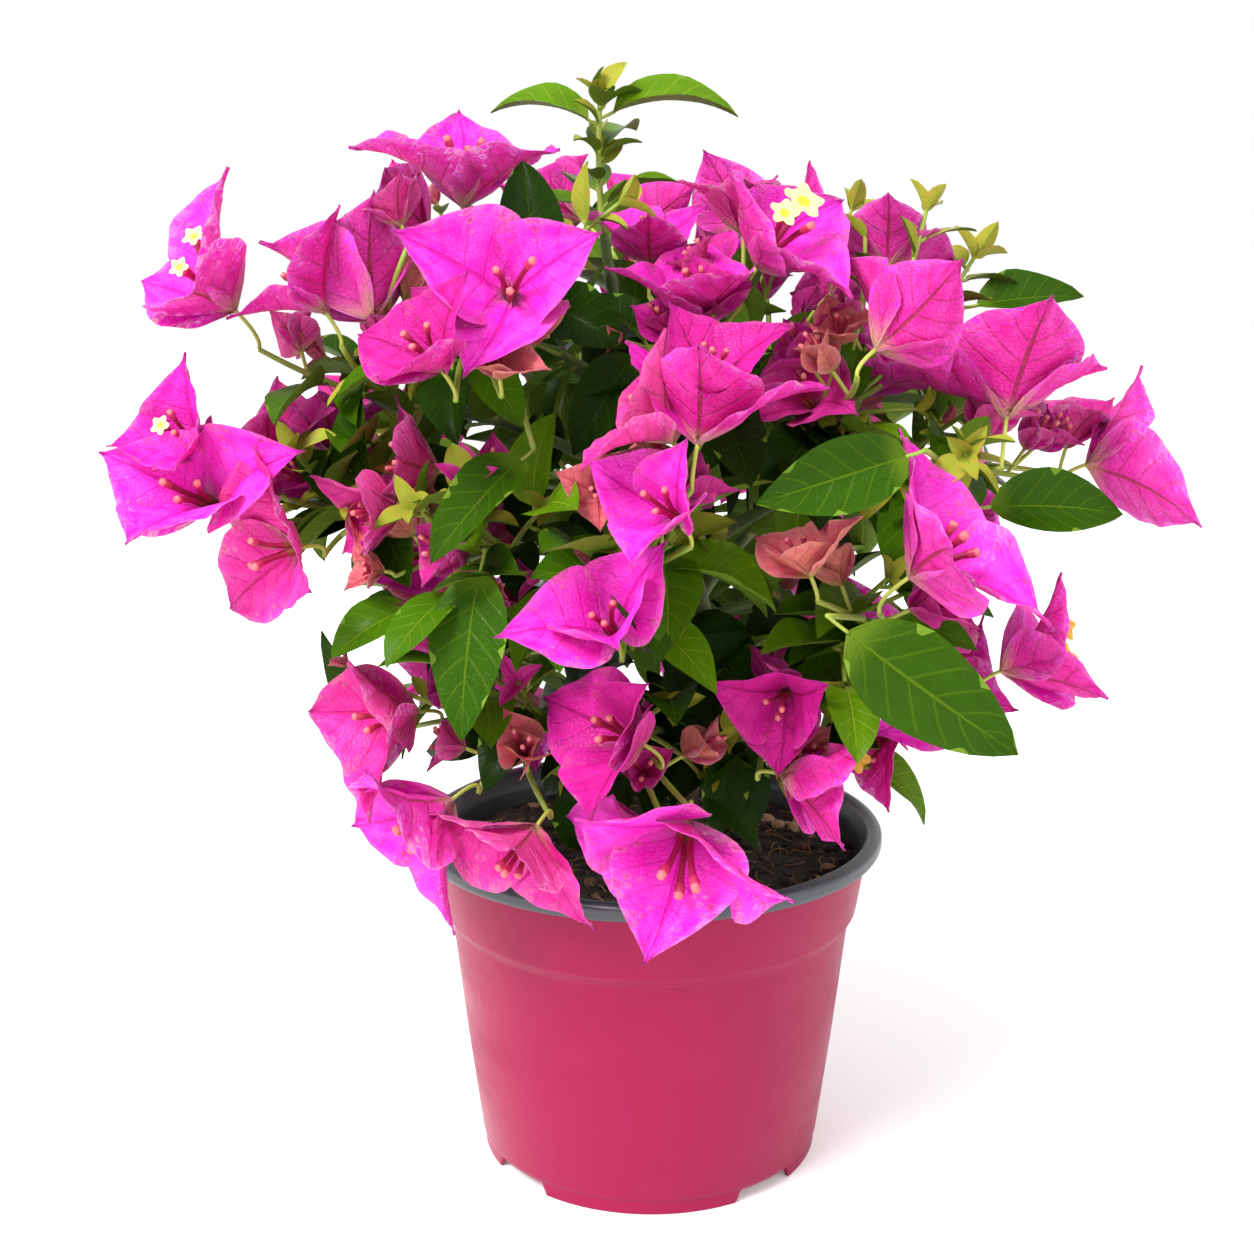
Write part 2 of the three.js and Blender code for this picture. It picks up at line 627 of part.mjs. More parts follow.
// Leaves in turn on both sides of the sprays' twigs, and leafy shoots that fill the mass.
function growLeaves(row) {
  const random = row.random;
  for (const { curve, twig, leaves } of row.twigs) {
    for (let k = 0; k < leaves; k++) {
      const t = 0.35 + (0.5 * k) / leaves;
      const tangent = curve.getTangent(t);
      const across = along(tangent.clone().multiplyScalar(0.5), spoke(tangent, 0), k % 2 ? 1 : -1);
      const axis = along(across, UP, 0.5 * random() - 0.3).normalize();
      add(row, leaf(curve.getPoint(t), axis, LEAF_LEAST + LEAF_SPREAD * random()), [twig]);
    }
  }
  const away = toward(vec(0, 0, row.junction.z), row.junction);
  const limbs = [row.stem, ...row.twigs.map((other) => other.twig)];
  for (let k = 0; k < SHOOTS; k++) {
    const swing = SHOOT_FAN * ((k + 0.5) / SHOOTS - 0.5) + 20 * (random() - 0.5);
    const outward = away.clone().applyAxisAngle(UP, radians(swing));
    const axis = along(outward, UP, 1.5 * random() - 0.6).normalize();
    const end = along(row.junction, axis, SHOOT_LEAST + SHOOT_SPREAD * random());
    const shoot = new THREE.LineCurve3(row.junction, end);
    const twig = limb(shoot, 1, 3, () => TWIG_R);
    const grown = add(row, twig, limbs);
    for (let j = 1; j <= SHOOT_LEAVES; j++) {
      const last = j === SHOOT_LEAVES;
      const aside = spoke(axis, LEAF_TURN * j + 60 * k);
      const direction = along(axis.clone().multiplyScalar(0.6), aside, last ? 0.1 : 1).normalize();
      const length = LEAF_LEAST + LEAF_SPREAD * random();
      const t = 0.55 + (0.42 * (j - 1)) / (SHOOT_LEAVES - 1);
      if (grown) add(row, leaf(shoot.getPoint(t), direction, length), [twig]);
    }
  }
}

// The top shoot grows straight on from the leader.
function growTop(row) {
  const axis = leaderCurve.getTangent(1);
  const stem = twigCurve(along(leaderCurve.getPoint(1), axis, GAP), axis, vec(...TOP_TIP));
  row.pieces = [];
  add(row, limb(stem, 2, 3, (t) => LEADER_TIP_R + (TOP_TIP_R - LEADER_TIP_R) * t));
  for (const [t, side, up, length] of TOP_LEAVES) {
    add(row, leaf(stem.getPoint(t), heading(side, up), length));
  }
}

// The assembly.
const bush = new THREE.Group();
function place(name, solid, colour, roughness) {
  const geometry = geometryOf(solid);
  geometry.computeVertexNormals();
  const mesh = new THREE.Mesh(geometry, new THREE.MeshStandardMaterial({ color: colour, roughness }));
  mesh.name = name;
  bush.add(mesh);
}

for (const [name, solid, colour, roughness] of [
  ["pot_body", potBody(), PINK, 0.45],
  ["pot_rim", potRim(), BLACK, 0.5],
  ["soil", soil(), EARTH, 1],
  ["trunk", trunkSolid(0), BARK, 0.9],
  ["leader_stem", leaderSolid(0), GREEN_STEM, 0.8],
]) {
  place(name, solid, colour, roughness);
  keep(name, solid);
}

const masses = [...MASSES, ...BACK_TIERS.flatMap(backMasses)];
for (const row of masses) {
  const name = row.name.replace("mass", "bough");
  const solid = bough(row);
  place(name, solid, GREEN_STEM, 0.8);
  keep(name, solid);
}

const top = { name: "mass_top" };
growTop(top);
masses.forEach(growSprays);
masses.forEach(growLargeLeaves);
masses.forEach(growLeaves);

[...masses, top].forEach(({ name, pieces }, i) => {
  const joined = geometryOf(wasm.Manifold.union(pieces).simplify(SLIVER));
  place(name, largest(solidOf(joined, MERGE)), MASS_COLOURS[i % MASS_COLOURS.length], 0.7);
});

export default bush;
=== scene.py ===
import math

import bpy
import numpy as np
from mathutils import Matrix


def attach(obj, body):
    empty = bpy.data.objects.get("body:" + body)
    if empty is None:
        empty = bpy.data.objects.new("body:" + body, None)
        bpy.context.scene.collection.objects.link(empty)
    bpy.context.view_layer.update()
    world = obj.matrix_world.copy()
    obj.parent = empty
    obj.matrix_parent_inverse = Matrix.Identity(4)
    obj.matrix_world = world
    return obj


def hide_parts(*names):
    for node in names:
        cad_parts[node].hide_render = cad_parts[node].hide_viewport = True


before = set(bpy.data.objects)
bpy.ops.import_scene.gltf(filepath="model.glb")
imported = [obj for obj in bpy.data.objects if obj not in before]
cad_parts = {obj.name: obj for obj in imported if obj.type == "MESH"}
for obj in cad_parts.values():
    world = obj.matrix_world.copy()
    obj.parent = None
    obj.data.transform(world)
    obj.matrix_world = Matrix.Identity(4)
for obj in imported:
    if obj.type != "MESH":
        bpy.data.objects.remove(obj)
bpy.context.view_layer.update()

# Pot wall
# A thin pink nursery pot, injection moulded, with a stepped collar and a foot ring that four
# notches cut for drainage. It is turned from one profile; the notches lift the foot's lower edge.
MM = 0.001
WALL, FOOT_R, FOOT_HIGH = 1.4, 55.4, 4.6
BODY_BOTTOM_R, BODY_TOP_R, STEP_HIGH, STEP_TOP = 56.2, 65.0, 80.6, 83.0
COLLAR_BOTTOM_R, COLLAR_TOP_R, COLLAR_HIGH = 67.2, 70.6, 104.0
FOOT_LEDGE, WALL_CORNER = 0.8, 1.6
NOTCHES, NOTCH_ANGLE, FIRST_NOTCH_SIDE, NOTCH_BAR, NOTCH_SLANT = 4, 23.0, 41.0, 0.4, 0.9
CORNER_MOST = 0.45  # the most of a profile's side that a rounded corner takes
POT_SEGMENTS = 432
TURN = 2 * math.pi


def srgb(red, green, blue):
    """A linear colour from its 0 to 255 screen values."""
    c = np.array([red, green, blue]) / 255
    linear = np.where(c < 0.04045, c / 12.92, ((c + 0.055) / 1.055) ** 2.4)
    return (*linear.tolist(), 1.0)


class Wire:
    """A shader socket that does arithmetic: each operation adds one Math node to its tree."""

    def __init__(self, tree, socket):
        self.tree, self.socket = tree, socket

    def math(self, operation, *values):
        node = self.tree.nodes.new("ShaderNodeMath")
        node.operation = operation
        for slot, value in zip(node.inputs, values):
            plug(self.tree, slot, value)
        return Wire(self.tree, node.outputs[0])

    def __add__(self, other):
        return self.math("ADD", self, other)

    def __radd__(self, other):
        return self.math("ADD", other, self)

    def __sub__(self, other):
        return self.math("SUBTRACT", self, other)

    def __rsub__(self, other):
        return self.math("SUBTRACT", other, self)

    def __mul__(self, other):
        return self.math("MULTIPLY", self, other)

    def __rmul__(self, other):
        return self.math("MULTIPLY", other, self)

    def __abs__(self):
        return self.math("ABSOLUTE", self)

    def ramp(self, low, high):
        """0 below the first value, 1 above the second, smooth between them."""
        node = self.tree.nodes.new("ShaderNodeMapRange")
        node.interpolation_type = "SMOOTHSTEP"
        for slot, value in zip(node.inputs, (self, low, high, 0.0, 1.0)):
            plug(self.tree, slot, value)
        return Wire(self.tree, node.outputs[0])


def plug(tree, slot, value):
    """Joins a wire to a socket, or sets the socket's value."""
    if isinstance(value, Wire):
        tree.links.new(value.socket, slot)
    else:
        slot.default_value = value


class Paint:
    """A material: one Principled surface, and the nodes that feed it."""

    def __init__(self, name, **sockets):
        self.material = bpy.data.materials.new(name)
        self.material.use_nodes = True
        self.tree = self.material.node_tree
        self.surface = self.tree.nodes["Principled BSDF"]
        self.set(**sockets)

    def set(self, **sockets):
        for name, value in sockets.items():
            plug(self.tree, self.surface.inputs[name.replace("_", " ")], value)

    def node(self, kind, settings, sockets, output=0):
        node = self.tree.nodes.new("ShaderNode" + kind)
        for name, value in settings.items():
            setattr(node, name, value)
        for name, value in sockets.items():
            plug(self.tree, node.inputs[name], value)
        return Wire(self.tree, node.outputs[output])

    def blend(self, amount, first, second):
        """Mixes two colours, through the colour sockets (6, 7 and 2) of a Mix node."""
        return self.node("Mix", {"data_type": "RGBA"}, {0: amount, 6: first, 7: second}, 2)

    def noise(self, scale, detail=3.0, rough=0.5, stretch=(1, 1, 1)):
        """Noise over the thing's own coordinates (output 3), each first multiplied by its stretch."""
        place = self.node("TexCoord", {}, {}, 3)
        place = self.node("VectorMath", {"operation": "MULTIPLY"}, {0: place, 1: stretch})
        sockets = {"Vector": place, "Scale": scale, "Detail": detail, "Roughness": rough}
        return self.node("TexNoise", {}, sockets)

    def bump(self, height, depth):
        self.set(Normal=self.node("Bump", {}, {"Height": height, "Distance": depth, "Strength": 1.0}))


def grid_faces(points):
    """The corner numbers of the quads of k grids of n by m points, whose last column is joined to the
    first. The result is k by n-1 by m by 4."""
    index = np.arange(points[..., 0].size).reshape(points.shape[:3])
    index = np.concatenate([index, index[:, :, :1]], axis=2)
    return np.stack([index[:, :-1, :-1], index[:, :-1, 1:], index[:, 1:, 1:], index[:, 1:, :-1]], axis=-1)


def piece(name, parts, paints, nodes, sharp=None):
    """Joins parts into one smooth mesh in metres. A part is its points in mm, k by n by m by 3, and its
    paint numbers, which spread over its quads. A blade's part also has the uv of its points. Edges that
    turn more than "sharp" degrees stay crisp."""
    points, faces, shades, marks, first = [], [], [], [], 0
    for grid, shade, *uv in parts:
        quads = grid_faces(grid)
        faces.append((quads + first).reshape(-1, 4))
        shades.append(np.broadcast_to(shade, quads.shape[:3]).ravel())
        marks.append(np.broadcast_to(uv[0] if uv else 0.0, (*grid.shape[:3], 2)).reshape(-1, 2))
        points.append(grid.reshape(-1, 3))
        first += grid[..., 0].size
    points, faces, marks = np.concatenate(points), np.concatenate(faces), np.concatenate(marks)
    mesh = bpy.data.meshes.new(name)
    mesh.vertices.add(len(points))
    mesh.vertices.foreach_set("co", (points * MM).ravel())
    mesh.loops.add(faces.size)
    mesh.loops.foreach_set("vertex_index", faces.ravel())
    mesh.polygons.add(len(faces))
    mesh.polygons.foreach_set("loop_start", np.arange(0, faces.size, 4))
    for paint in paints:
        mesh.materials.append(paint.material)
    mesh.polygons.foreach_set("material_index", np.concatenate(shades).astype(np.int32))
    if any(len(part) > 2 for part in parts):
        mesh.uv_layers.new(name="OFBake").data.foreach_set("uv", marks[faces.ravel()].ravel())
    mesh.update(calc_edges=True)
    mesh.validate()
    mesh.shade_smooth()
    if sharp:
        mesh.set_sharp_from_angle(angle=math.radians(sharp))
    thing = bpy.data.objects.new(name, mesh)
    bpy.context.collection.objects.link(thing)
    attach(thing, "root")
    if nodes:
        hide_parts(*nodes)


def shares(steps):
    """Evenly spaced shares from 0 to 1, along the second of three axes."""
    return np.linspace(0, 1, steps)[None, :, None]


def circle(steps):
    """Evenly spaced angles once round, in radians."""
    return np.arange(steps) * TURN / steps


def rounded(profile, radius, steps=5):
    """A profile with each inner corner swapped for a short curve: two points at "radius" from the corner
    (or nearer, by CORNER_MOST of its shorter side), joined by a parabola that the corner pulls."""
    p = np.array(profile, float)
    before, corner, after = p[:-2], p[1:-1], p[2:]
    reach_in, reach_out = (np.linalg.norm(corner - q, axis=1, keepdims=True) for q in (before, after))
    cut = np.minimum(radius, CORNER_MOST * np.minimum(reach_in, reach_out))
    start = corner + (before - corner) / reach_in * cut
    end = corner + (after - corner) / reach_out * cut
    t = shares(steps)
    curve = (1 - t) ** 2 * start[:, None] + 2 * t * (1 - t) * corner[:, None] + t ** 2 * end[:, None]
    return np.concatenate([p[:1], curve.reshape(-1, 2), p[-1:]])


def around(angle, out, high):
    """Points about the pot's axis, from an angle in radians (0 the front), a distance out and a height:
    out sin(angle), minus out cos(angle), and the height."""
    return np.stack(np.broadcast_arrays(out * np.sin(angle), -out * np.cos(angle), high + 0 * angle), -1)


def turned(profile, segments):
    """A surface of revolution: radius and height along the profile, carried round the pot's axis."""
    return around(circle(segments), profile[:, :1], profile[:, 1:])[None]


def notched(points):
    """Lifts the foot's lower edge inside each notch, fading over NOTCH_SLANT degrees to each side of a
    notch's end."""
    side = np.degrees(np.arctan2(points[..., 0], -points[..., 1]))
    span = 360 / NOTCHES
    from_middle = np.abs((side - FIRST_NOTCH_SIDE + span / 2) % span - span / 2)
    share = np.clip((NOTCH_ANGLE / 2 + NOTCH_SLANT - from_middle) / (2 * NOTCH_SLANT), 0, 1)
    lift = (FOOT_HIGH - NOTCH_BAR) * share
    foot = np.hypot(points[..., 0], points[..., 1]) > FOOT_R - 3 * WALL
    points[..., 2] = np.where(foot, np.maximum(points[..., 2], lift), points[..., 2])
    return points


wall_profile = rounded([
    [0, FOOT_HIGH], [FOOT_R - WALL, FOOT_HIGH], [FOOT_R - WALL, 0], [FOOT_R, 0], [FOOT_R, FOOT_HIGH],
    [BODY_BOTTOM_R, FOOT_HIGH + FOOT_LEDGE], [(BODY_BOTTOM_R + BODY_TOP_R) / 2, STEP_HIGH / 2],
    [BODY_TOP_R, STEP_HIGH], [COLLAR_BOTTOM_R, STEP_TOP], [COLLAR_TOP_R, COLLAR_HIGH],
    [COLLAR_TOP_R - WALL, COLLAR_HIGH], [COLLAR_BOTTOM_R - WALL, STEP_TOP], [BODY_TOP_R - WALL, STEP_HIGH],
    [BODY_BOTTOM_R - WALL, FOOT_HIGH + WALL], [0, FOOT_HIGH + WALL],
], WALL_CORNER)

pink = Paint("pot pink", Roughness=0.4, Specular_IOR_Level=0.2, Coat_Weight=0.03, Coat_Roughness=0.35)
scuff = pink.noise(14, 5, 0.6, (1, 1, 3)).ramp(0.42, 0.72)
dust = pink.noise(60, 4, 0.6).ramp(0.5, 0.8)
body_tone = pink.blend(scuff * 0.35, srgb(142, 5, 62), srgb(132, 4, 56))
pink.set(Base_Color=pink.blend(dust * 0.05, body_tone, srgb(180, 70, 104)),
         Roughness=0.34 + 0.14 * scuff + 0.1 * dust)
pink.bump(pink.noise(260, 2), 0.00012)
pot_wall = notched(turned(wall_profile, POT_SEGMENTS))
piece("pot_wall", [(pot_wall, 0)], [pink], ["pot_body"])

# Drain holes
# Round holes in the pot's floor, one in line with each notch. Each is a small moulded rim with the
# damp compost showing in it, set into the floor's underside.
DRAIN_R, DRAIN_OUT, DRAIN_CORNER = 4.5, 36.0, 0.4
# out from the hole's edge, and up from the floor's underside
DRAIN_RIM = [(-1.2, 0.3), (-0.5, -0.35), (0.6, -0.35), (0.9, 0.2)]
FILL_SINK, FILL_EDGE_SINK, DRAIN_SEGMENTS = 0.06, 0.1, 40


def plain(name, tone, rough):
    """A material of one colour, for what is too small to show more."""
    return Paint(name, Base_Color=srgb(*tone), Roughness=rough)


drain_rim = rounded([[DRAIN_R + out, FOOT_HIGH + up] for out, up in DRAIN_RIM], DRAIN_CORNER)
drain_fill = np.array([[0, FOOT_HIGH - FILL_SINK], [DRAIN_R, FOOT_HIGH - FILL_EDGE_SINK]])
drain_sides = np.radians(FIRST_NOTCH_SIDE + 360 / NOTCHES * np.arange(NOTCHES))
drain_places = around(drain_sides, DRAIN_OUT, 0)[:, None, None]
dark_fill = plain("compost in the holes", (38, 28, 22), 0.9)
piece("drain_rims", [(turned(profile, DRAIN_SEGMENTS) + drain_places, paint)
                     for paint, profile in enumerate((drain_rim, drain_fill))],
      [pink, dark_fill], [])

# Pot rim
# The pot's black inner layer: a rolled lip over the collar and the lining below it. It is moulded
# with the wall and is turned from its own profile.
GAP = 0.3
RIM_R, RIM_HIGH, RIM_THICK, LINING, LINING_DEEP = 75.0, 110.0, 5.6, 1.0, 20.0
RIM_CORNER, RIM_STEPS = 1.5, 7


def collar_inner(high):
    """The collar's inner radius at a height: it widens evenly from the step to the top."""
    share = (high - STEP_TOP) / (COLLAR_HIGH - STEP_TOP)
    return COLLAR_BOTTOM_R + (COLLAR_TOP_R - COLLAR_BOTTOM_R) * share - WALL


rim_bottom = RIM_HIGH - LINING_DEEP
skin, skin_bottom = COLLAR_TOP_R - WALL - GAP, collar_inner(rim_bottom) - GAP
rim_profile = rounded([
    [skin_bottom, rim_bottom], [skin, COLLAR_HIGH + GAP], [RIM_R - 0.6, COLLAR_HIGH + GAP],
    [RIM_R, COLLAR_HIGH + 1.6], [RIM_R, RIM_HIGH - 1.4], [RIM_R - 2.2, RIM_HIGH],
    [RIM_R - RIM_THICK + 1.0, RIM_HIGH - 0.9], [skin - LINING, COLLAR_HIGH],
    [skin_bottom - LINING, rim_bottom], [skin_bottom, rim_bottom],
], RIM_CORNER, RIM_STEPS)
black = Paint("pot black", Coat_Weight=0.1, Coat_Roughness=0.3)
rub = black.noise(30, 5, 0.6, (1, 1, 4)).ramp(0.45, 0.75)
black.set(Base_Color=black.blend(rub * 0.4, srgb(52, 55, 60), srgb(84, 87, 92)), Roughness=0.36 + 0.16 * rub)
black.bump(black.noise(240, 2), 0.0001)
pot_rim = turned(rim_profile, POT_SEGMENTS)
piece("pot_rim", [(pot_rim, 0)], [black], ["pot_rim"])

# Compost
# Dark fibrous potting mix that fills the pot to about 12 mm below its rim. The surface is one
# uneven sheet, and crumbs, bark bits and tan clay pebbles lie on it.
UP = np.array([0.0, 0.0, 1.0])
SOIL_HIGH, SOIL_MOUND, MOUND_R, SOIL_EDGE_R, SHEET_RINGS, SHEET_SIDES = 97.5, 1.6, 40.0, 66, 80, 240
SOIL_WAVES = [(1.0, 26, 3), (0.6, 9, 4), (0.4, 4.2, 5)]  # height, length, seed
RIPPLE_GAIN = 2.2  # lifts the mean of the waves to about -1 to 1
PEBBLE_RINGS, PEBBLE_SIDES, PEBBLE_DENT, DENT_LONG = 7, 8, 0.28, 1.9
CRUMBS, CRUMB_LEAST, CRUMB_SPREAD, CRUMB_UP = 620, 0.7, 1.9, 0.15
# groups of pebbles: side, out, how many
PEBBLES = [(-9, 61, 9), (50, 62, 7), (-60, 58, 5), (120, 50, 6), (200, 56, 7), (275, 48, 5)]
PEBBLE_FAR, PEBBLE_UP = 64, 0.5


def unit(v):
    return v / np.linalg.norm(v, axis=-1, keepdims=True)


def ripple(points, length, seed, waves=12):
    """Smooth noise of about -1 to 1: the mean of sine waves of one length in random directions."""
    random = np.random.default_rng(seed)
    ways = unit(random.normal(size=(waves, 3)))
    phases = random.uniform(0, TURN, waves)
    return np.sin(points @ ways.T * (TURN / length) + phases).mean(-1) * RIPPLE_GAIN


def lumps(places, sizes, squash, seed):
    """Closed pebbles at the given places: a sphere of latitude and longitude, each bent by its own noise."""
    down = np.linspace(0, math.pi, PEBBLE_RINGS)[:, None]
    angle = np.linspace(0, TURN, PEBBLE_SIDES + 1)[:-1]
    x, y = np.sin(down) * np.cos(angle), np.sin(down) * np.sin(angle)
    ball = np.stack(np.broadcast_arrays(x, y, np.cos(down)), -1)
    random = np.random.default_rng(seed)
    shapes = ball[None] * random.uniform(0.7, 1.3, (len(places), 1, 1, 3)) * [1, 1, squash]
    own = random.uniform(-50, 50, (len(places), 1, 1, 3))
    shapes = shapes * (1 + PEBBLE_DENT * ripple(ball[None] + own, DENT_LONG, seed))[..., None]
    turn = random.uniform(0, TURN, (len(places), 1, 1))
    x, y, z = shapes[..., 0], shapes[..., 1], shapes[..., 2]
    spun = np.stack([x * np.cos(turn) - y * np.sin(turn), x * np.sin(turn) + y * np.cos(turn), z], -1)
    return places[:, None, None] + spun * sizes[:, None, None, None]


def soil_level(x, y):
    """The compost's height: a low mound with waves of three sizes."""
    flat = np.stack([x, y, 0 * x], -1)
    share = np.clip((SOIL_EDGE_R - np.hypot(x, y)) / (SOIL_EDGE_R - MOUND_R), 0, 1)
    waves = (high * ripple(flat, length, seed) for high, length, seed in SOIL_WAVES)
    return sum(waves, SOIL_HIGH + SOIL_MOUND * share)


def on_soil(angle, out, lift):
    """Points on the compost, or so far above it, from their angles and distances out."""
    flat = around(angle, out, 0)
    return flat + UP * (soil_level(flat[..., 0], flat[..., 1]) + lift)[..., None]


sheet_out = np.linspace(0, collar_inner(SOIL_HIGH) - LINING - GAP, SHEET_RINGS)[:, None]
sheet = on_soil(circle(SHEET_SIDES), sheet_out, 0)[None, ::-1]

soil_random = np.random.default_rng(21)
crumb_out = SOIL_EDGE_R * np.sqrt(soil_random.uniform(0, 1, CRUMBS))
crumb_side = soil_random.uniform(0, TURN, CRUMBS)
crumb_size = CRUMB_LEAST + CRUMB_SPREAD * soil_random.uniform(0, 1, CRUMBS) ** 2
crumb_tone = soil_random.choice(4, CRUMBS, p=[0.5, 0.28, 0.15, 0.07])
crumbs = lumps(on_soil(crumb_side, crumb_out, CRUMB_UP * crumb_size), crumb_size, 0.6, 8)

pebble_at = []
for side, out, count in PEBBLES:
    pebble_side = np.radians(side) + soil_random.normal(0, 0.07, count)
    pebble_at.append(np.stack([pebble_side, out + soil_random.normal(0, 2.4, count)]))
pebble_side, pebble_out = np.concatenate(pebble_at, axis=1)
pebble_size = soil_random.uniform(1.3, 2.6, len(pebble_side))
pebble_places = on_soil(pebble_side, np.minimum(pebble_out, PEBBLE_FAR), PEBBLE_UP * pebble_size)
pebbles = lumps(pebble_places, pebble_size, 0.8, 9)

mould = Paint("compost", Roughness=0.92)
damp = mould.noise(120, 6, 0.7).ramp(0.35, 0.7)
mould.set(Base_Color=mould.blend(damp, srgb(28, 20, 16), srgb(66, 48, 36)))
mould.bump(mould.noise(420, 6, 0.7), 0.0012)
crumb_paints = [mould, plain("dark crumb", (50, 37, 29), 0.9), plain("brown crumb", (92, 66, 46), 0.9),
                plain("tan crumb", (150, 118, 86), 0.9), plain("clay pebble", (178, 142, 110), 0.9)]
piece("compost", [(sheet, 0), (crumbs, crumb_tone[:, None, None]), (pebbles, 4)],
      crumb_paints, ["soil"])

# Coir fibres
# Pale brown fibres of the mix, each a thin bent thread lying on the compost. They are loose, and
# only there to be seen.
FIBRES, FIBRE_R, FIBRE_FAR = 170, 0.22, 65
FIBRE_LIFTS = np.array([0.2, 1.6, 0.5])  # of a fibre's start, its bend and its end


def bezier(corners, t):
    """Points and unit directions along Bezier curves. Corners are k by 3 or 4 by 3; t runs 0 to 1.
    The curve is the corners weighted by the Bernstein terms, and its direction the same of their steps."""
    degree = corners.shape[1] - 1
    def blended(values, n):
        weights = np.stack([math.comb(n, i) * t ** i * (1 - t) ** (n - i) for i in range(n + 1)])
        return np.einsum("in,kic->knc", weights, values)
    return blended(corners, degree), unit(blended(np.diff(corners, axis=1), degree - 1))


def tubes(corners, steps, sides, radius):
    """Tubes along k Bezier curves: rings square to each curve, level side first. The radius is a number
    or an array that spreads over k by steps by sides, in mm."""
    path, ahead = bezier(corners, np.linspace(0, 1, steps))
    level = np.cross(UP, ahead[:, :1])
    level = np.where(np.linalg.norm(level, axis=-1, keepdims=True) < 1e-3, [1.0, 0, 0], level)
    level = unit(level - ahead * (level * ahead).sum(-1, keepdims=True))
    upward = np.cross(ahead, level)
    angle = circle(sides)[:, None]
    spokes = level[:, :, None] * np.cos(angle) + upward[:, :, None] * np.sin(angle)
    radius = np.broadcast_to(radius, spokes.shape[:3])
    return path[:, :, None] + spokes * radius[..., None]


def tapered(points):
    """Closes tubes at both ends by drawing their first and last rings together."""
    ends = [points[:, i:j].mean(2, keepdims=True) + 0 * points[:, i:j] for i, j in ((0, 1), (-1, None))]
    return np.concatenate([ends[0], points, ends[1]], axis=1)


fibre_out = 62 * np.sqrt(soil_random.uniform(0, 1, FIBRES))
fibre_start = around(soil_random.uniform(0, TURN, FIBRES), fibre_out, 0)[:, :2]
fibre_turn = soil_random.uniform(0, TURN, FIBRES)
fibre_way = np.stack([np.cos(fibre_turn), np.sin(fibre_turn)], -1) * soil_random.uniform(3, 9, (FIBRES, 1))
fibre_bend = soil_random.normal(0, 2, (FIBRES, 2))
fibre_flat = np.stack([fibre_start, fibre_start + 0.5 * fibre_way + fibre_bend, fibre_start + fibre_way], 1)
fibre_flat = fibre_flat * np.minimum(1, FIBRE_FAR / np.linalg.norm(fibre_flat, axis=-1, keepdims=True))
fibre_high = soil_level(fibre_flat[..., 0], fibre_flat[..., 1]) + FIBRE_LIFTS
fibres = np.concatenate([fibre_flat, fibre_high[..., None]], -1)
coir = plain("coir", (140, 104, 70), 0.85)
piece("coir_fibres", [(tapered(tubes(fibres, 8, 5, FIBRE_R)), 0)], [coir], [])

# Trunk
# The woody main stem, brown and rough, from a flare at the compost up to the fork. Its ring radius
# follows the taper and carries ridges, and its material adds fine cracks along the grain and moss.
TRUNK_FOOT, TRUNK_BEND, FORK = (10, 4), (16, 3, 140), (17, 0, 168)
TRUNK_FLARE_R, TRUNK_R, FORK_R, FLARE_HIGH, FLARE_FADE = 8.2, 4.8, 3.7, 14.0, 2.5
TRUNK_RINGS, TRUNK_RELIEF, TRUNK_GRAIN = 120, 0.45, 5
BARK_STRETCH, FINE_BARK = 0.22, 0.4  # how much height counts in the grain; the finer waves' share of it

trunk_start = np.array([*TRUNK_FOOT, SOIL_HIGH + SOIL_MOUND + GAP])
trunk_corners = np.array([[trunk_start, trunk_start + FLARE_HIGH * UP, TRUNK_BEND, FORK]])


def barked(corners, steps, sides, radius, depth, grain, seed):
    """A limb with bark: its radius along the limb, plus "depth" times a relief of waves. The waves are
    long up and down and short across, so the bark reads as ridges."""
    smooth = tubes(corners, steps, sides, radius)
    place = smooth * [1, 1, BARK_STRETCH]
    relief = 0.6 * ripple(place, grain, seed) + 0.4 * ripple(place, grain * FINE_BARK, seed + 1)
    return tubes(corners, steps, sides, radius + depth * relief)


trunk_t = shares(TRUNK_RINGS)
trunk_path = bezier(trunk_corners, np.linspace(0, 1, 60))[0][0]
trunk_long = np.linalg.norm(np.diff(trunk_path, axis=0), axis=1).sum()
flare = (TRUNK_FLARE_R - TRUNK_R) * np.exp(-FLARE_FADE * trunk_t * trunk_long / FLARE_HIGH)
trunk_radius = TRUNK_R + (FORK_R - TRUNK_R) * trunk_t + flare
trunk_skin = tapered(barked(trunk_corners, TRUNK_RINGS, 48, trunk_radius, TRUNK_RELIEF, TRUNK_GRAIN, 31))
bark = Paint("bark", Roughness=0.88)
cracks = bark.noise(160, 6, 0.65, (1, 1, 0.25)).ramp(0.38, 0.62)
moss = bark.noise(40, 3).ramp(0.5, 0.75)
bark_tone = bark.blend(cracks, srgb(52, 38, 28), srgb(118, 94, 70))
bark.set(Base_Color=bark.blend(moss * 0.35, bark_tone, srgb(96, 104, 62)))
bark.bump(cracks, 0.0006)
piece("trunk_bark", [(trunk_skin, 0)], [bark], ["trunk"])

# Leader
# The younger stem that carries the top of the bush on from the fork. It is green, ridged and a
# little knotted where leaves once stood.
LEADER_RISE, LEADER_BEND, LEADER_TIP, LEADER_TIP_R = 22, (-6, -8, 232), (-14.5, -5, 296), 1.5
LEADER_RINGS, KNOTS, KNOT_RISE, KNOT_LONG, GREEN_GRAIN = 130, 7, 0.35, 0.1, 4
LEADER_RELIEF = 0.14


def bell(place, middle, reach):
    """A swelling of height 1 at the middle: e to the minus ((place - middle) / reach) squared."""
    return np.exp(-((place - middle) / reach) ** 2)


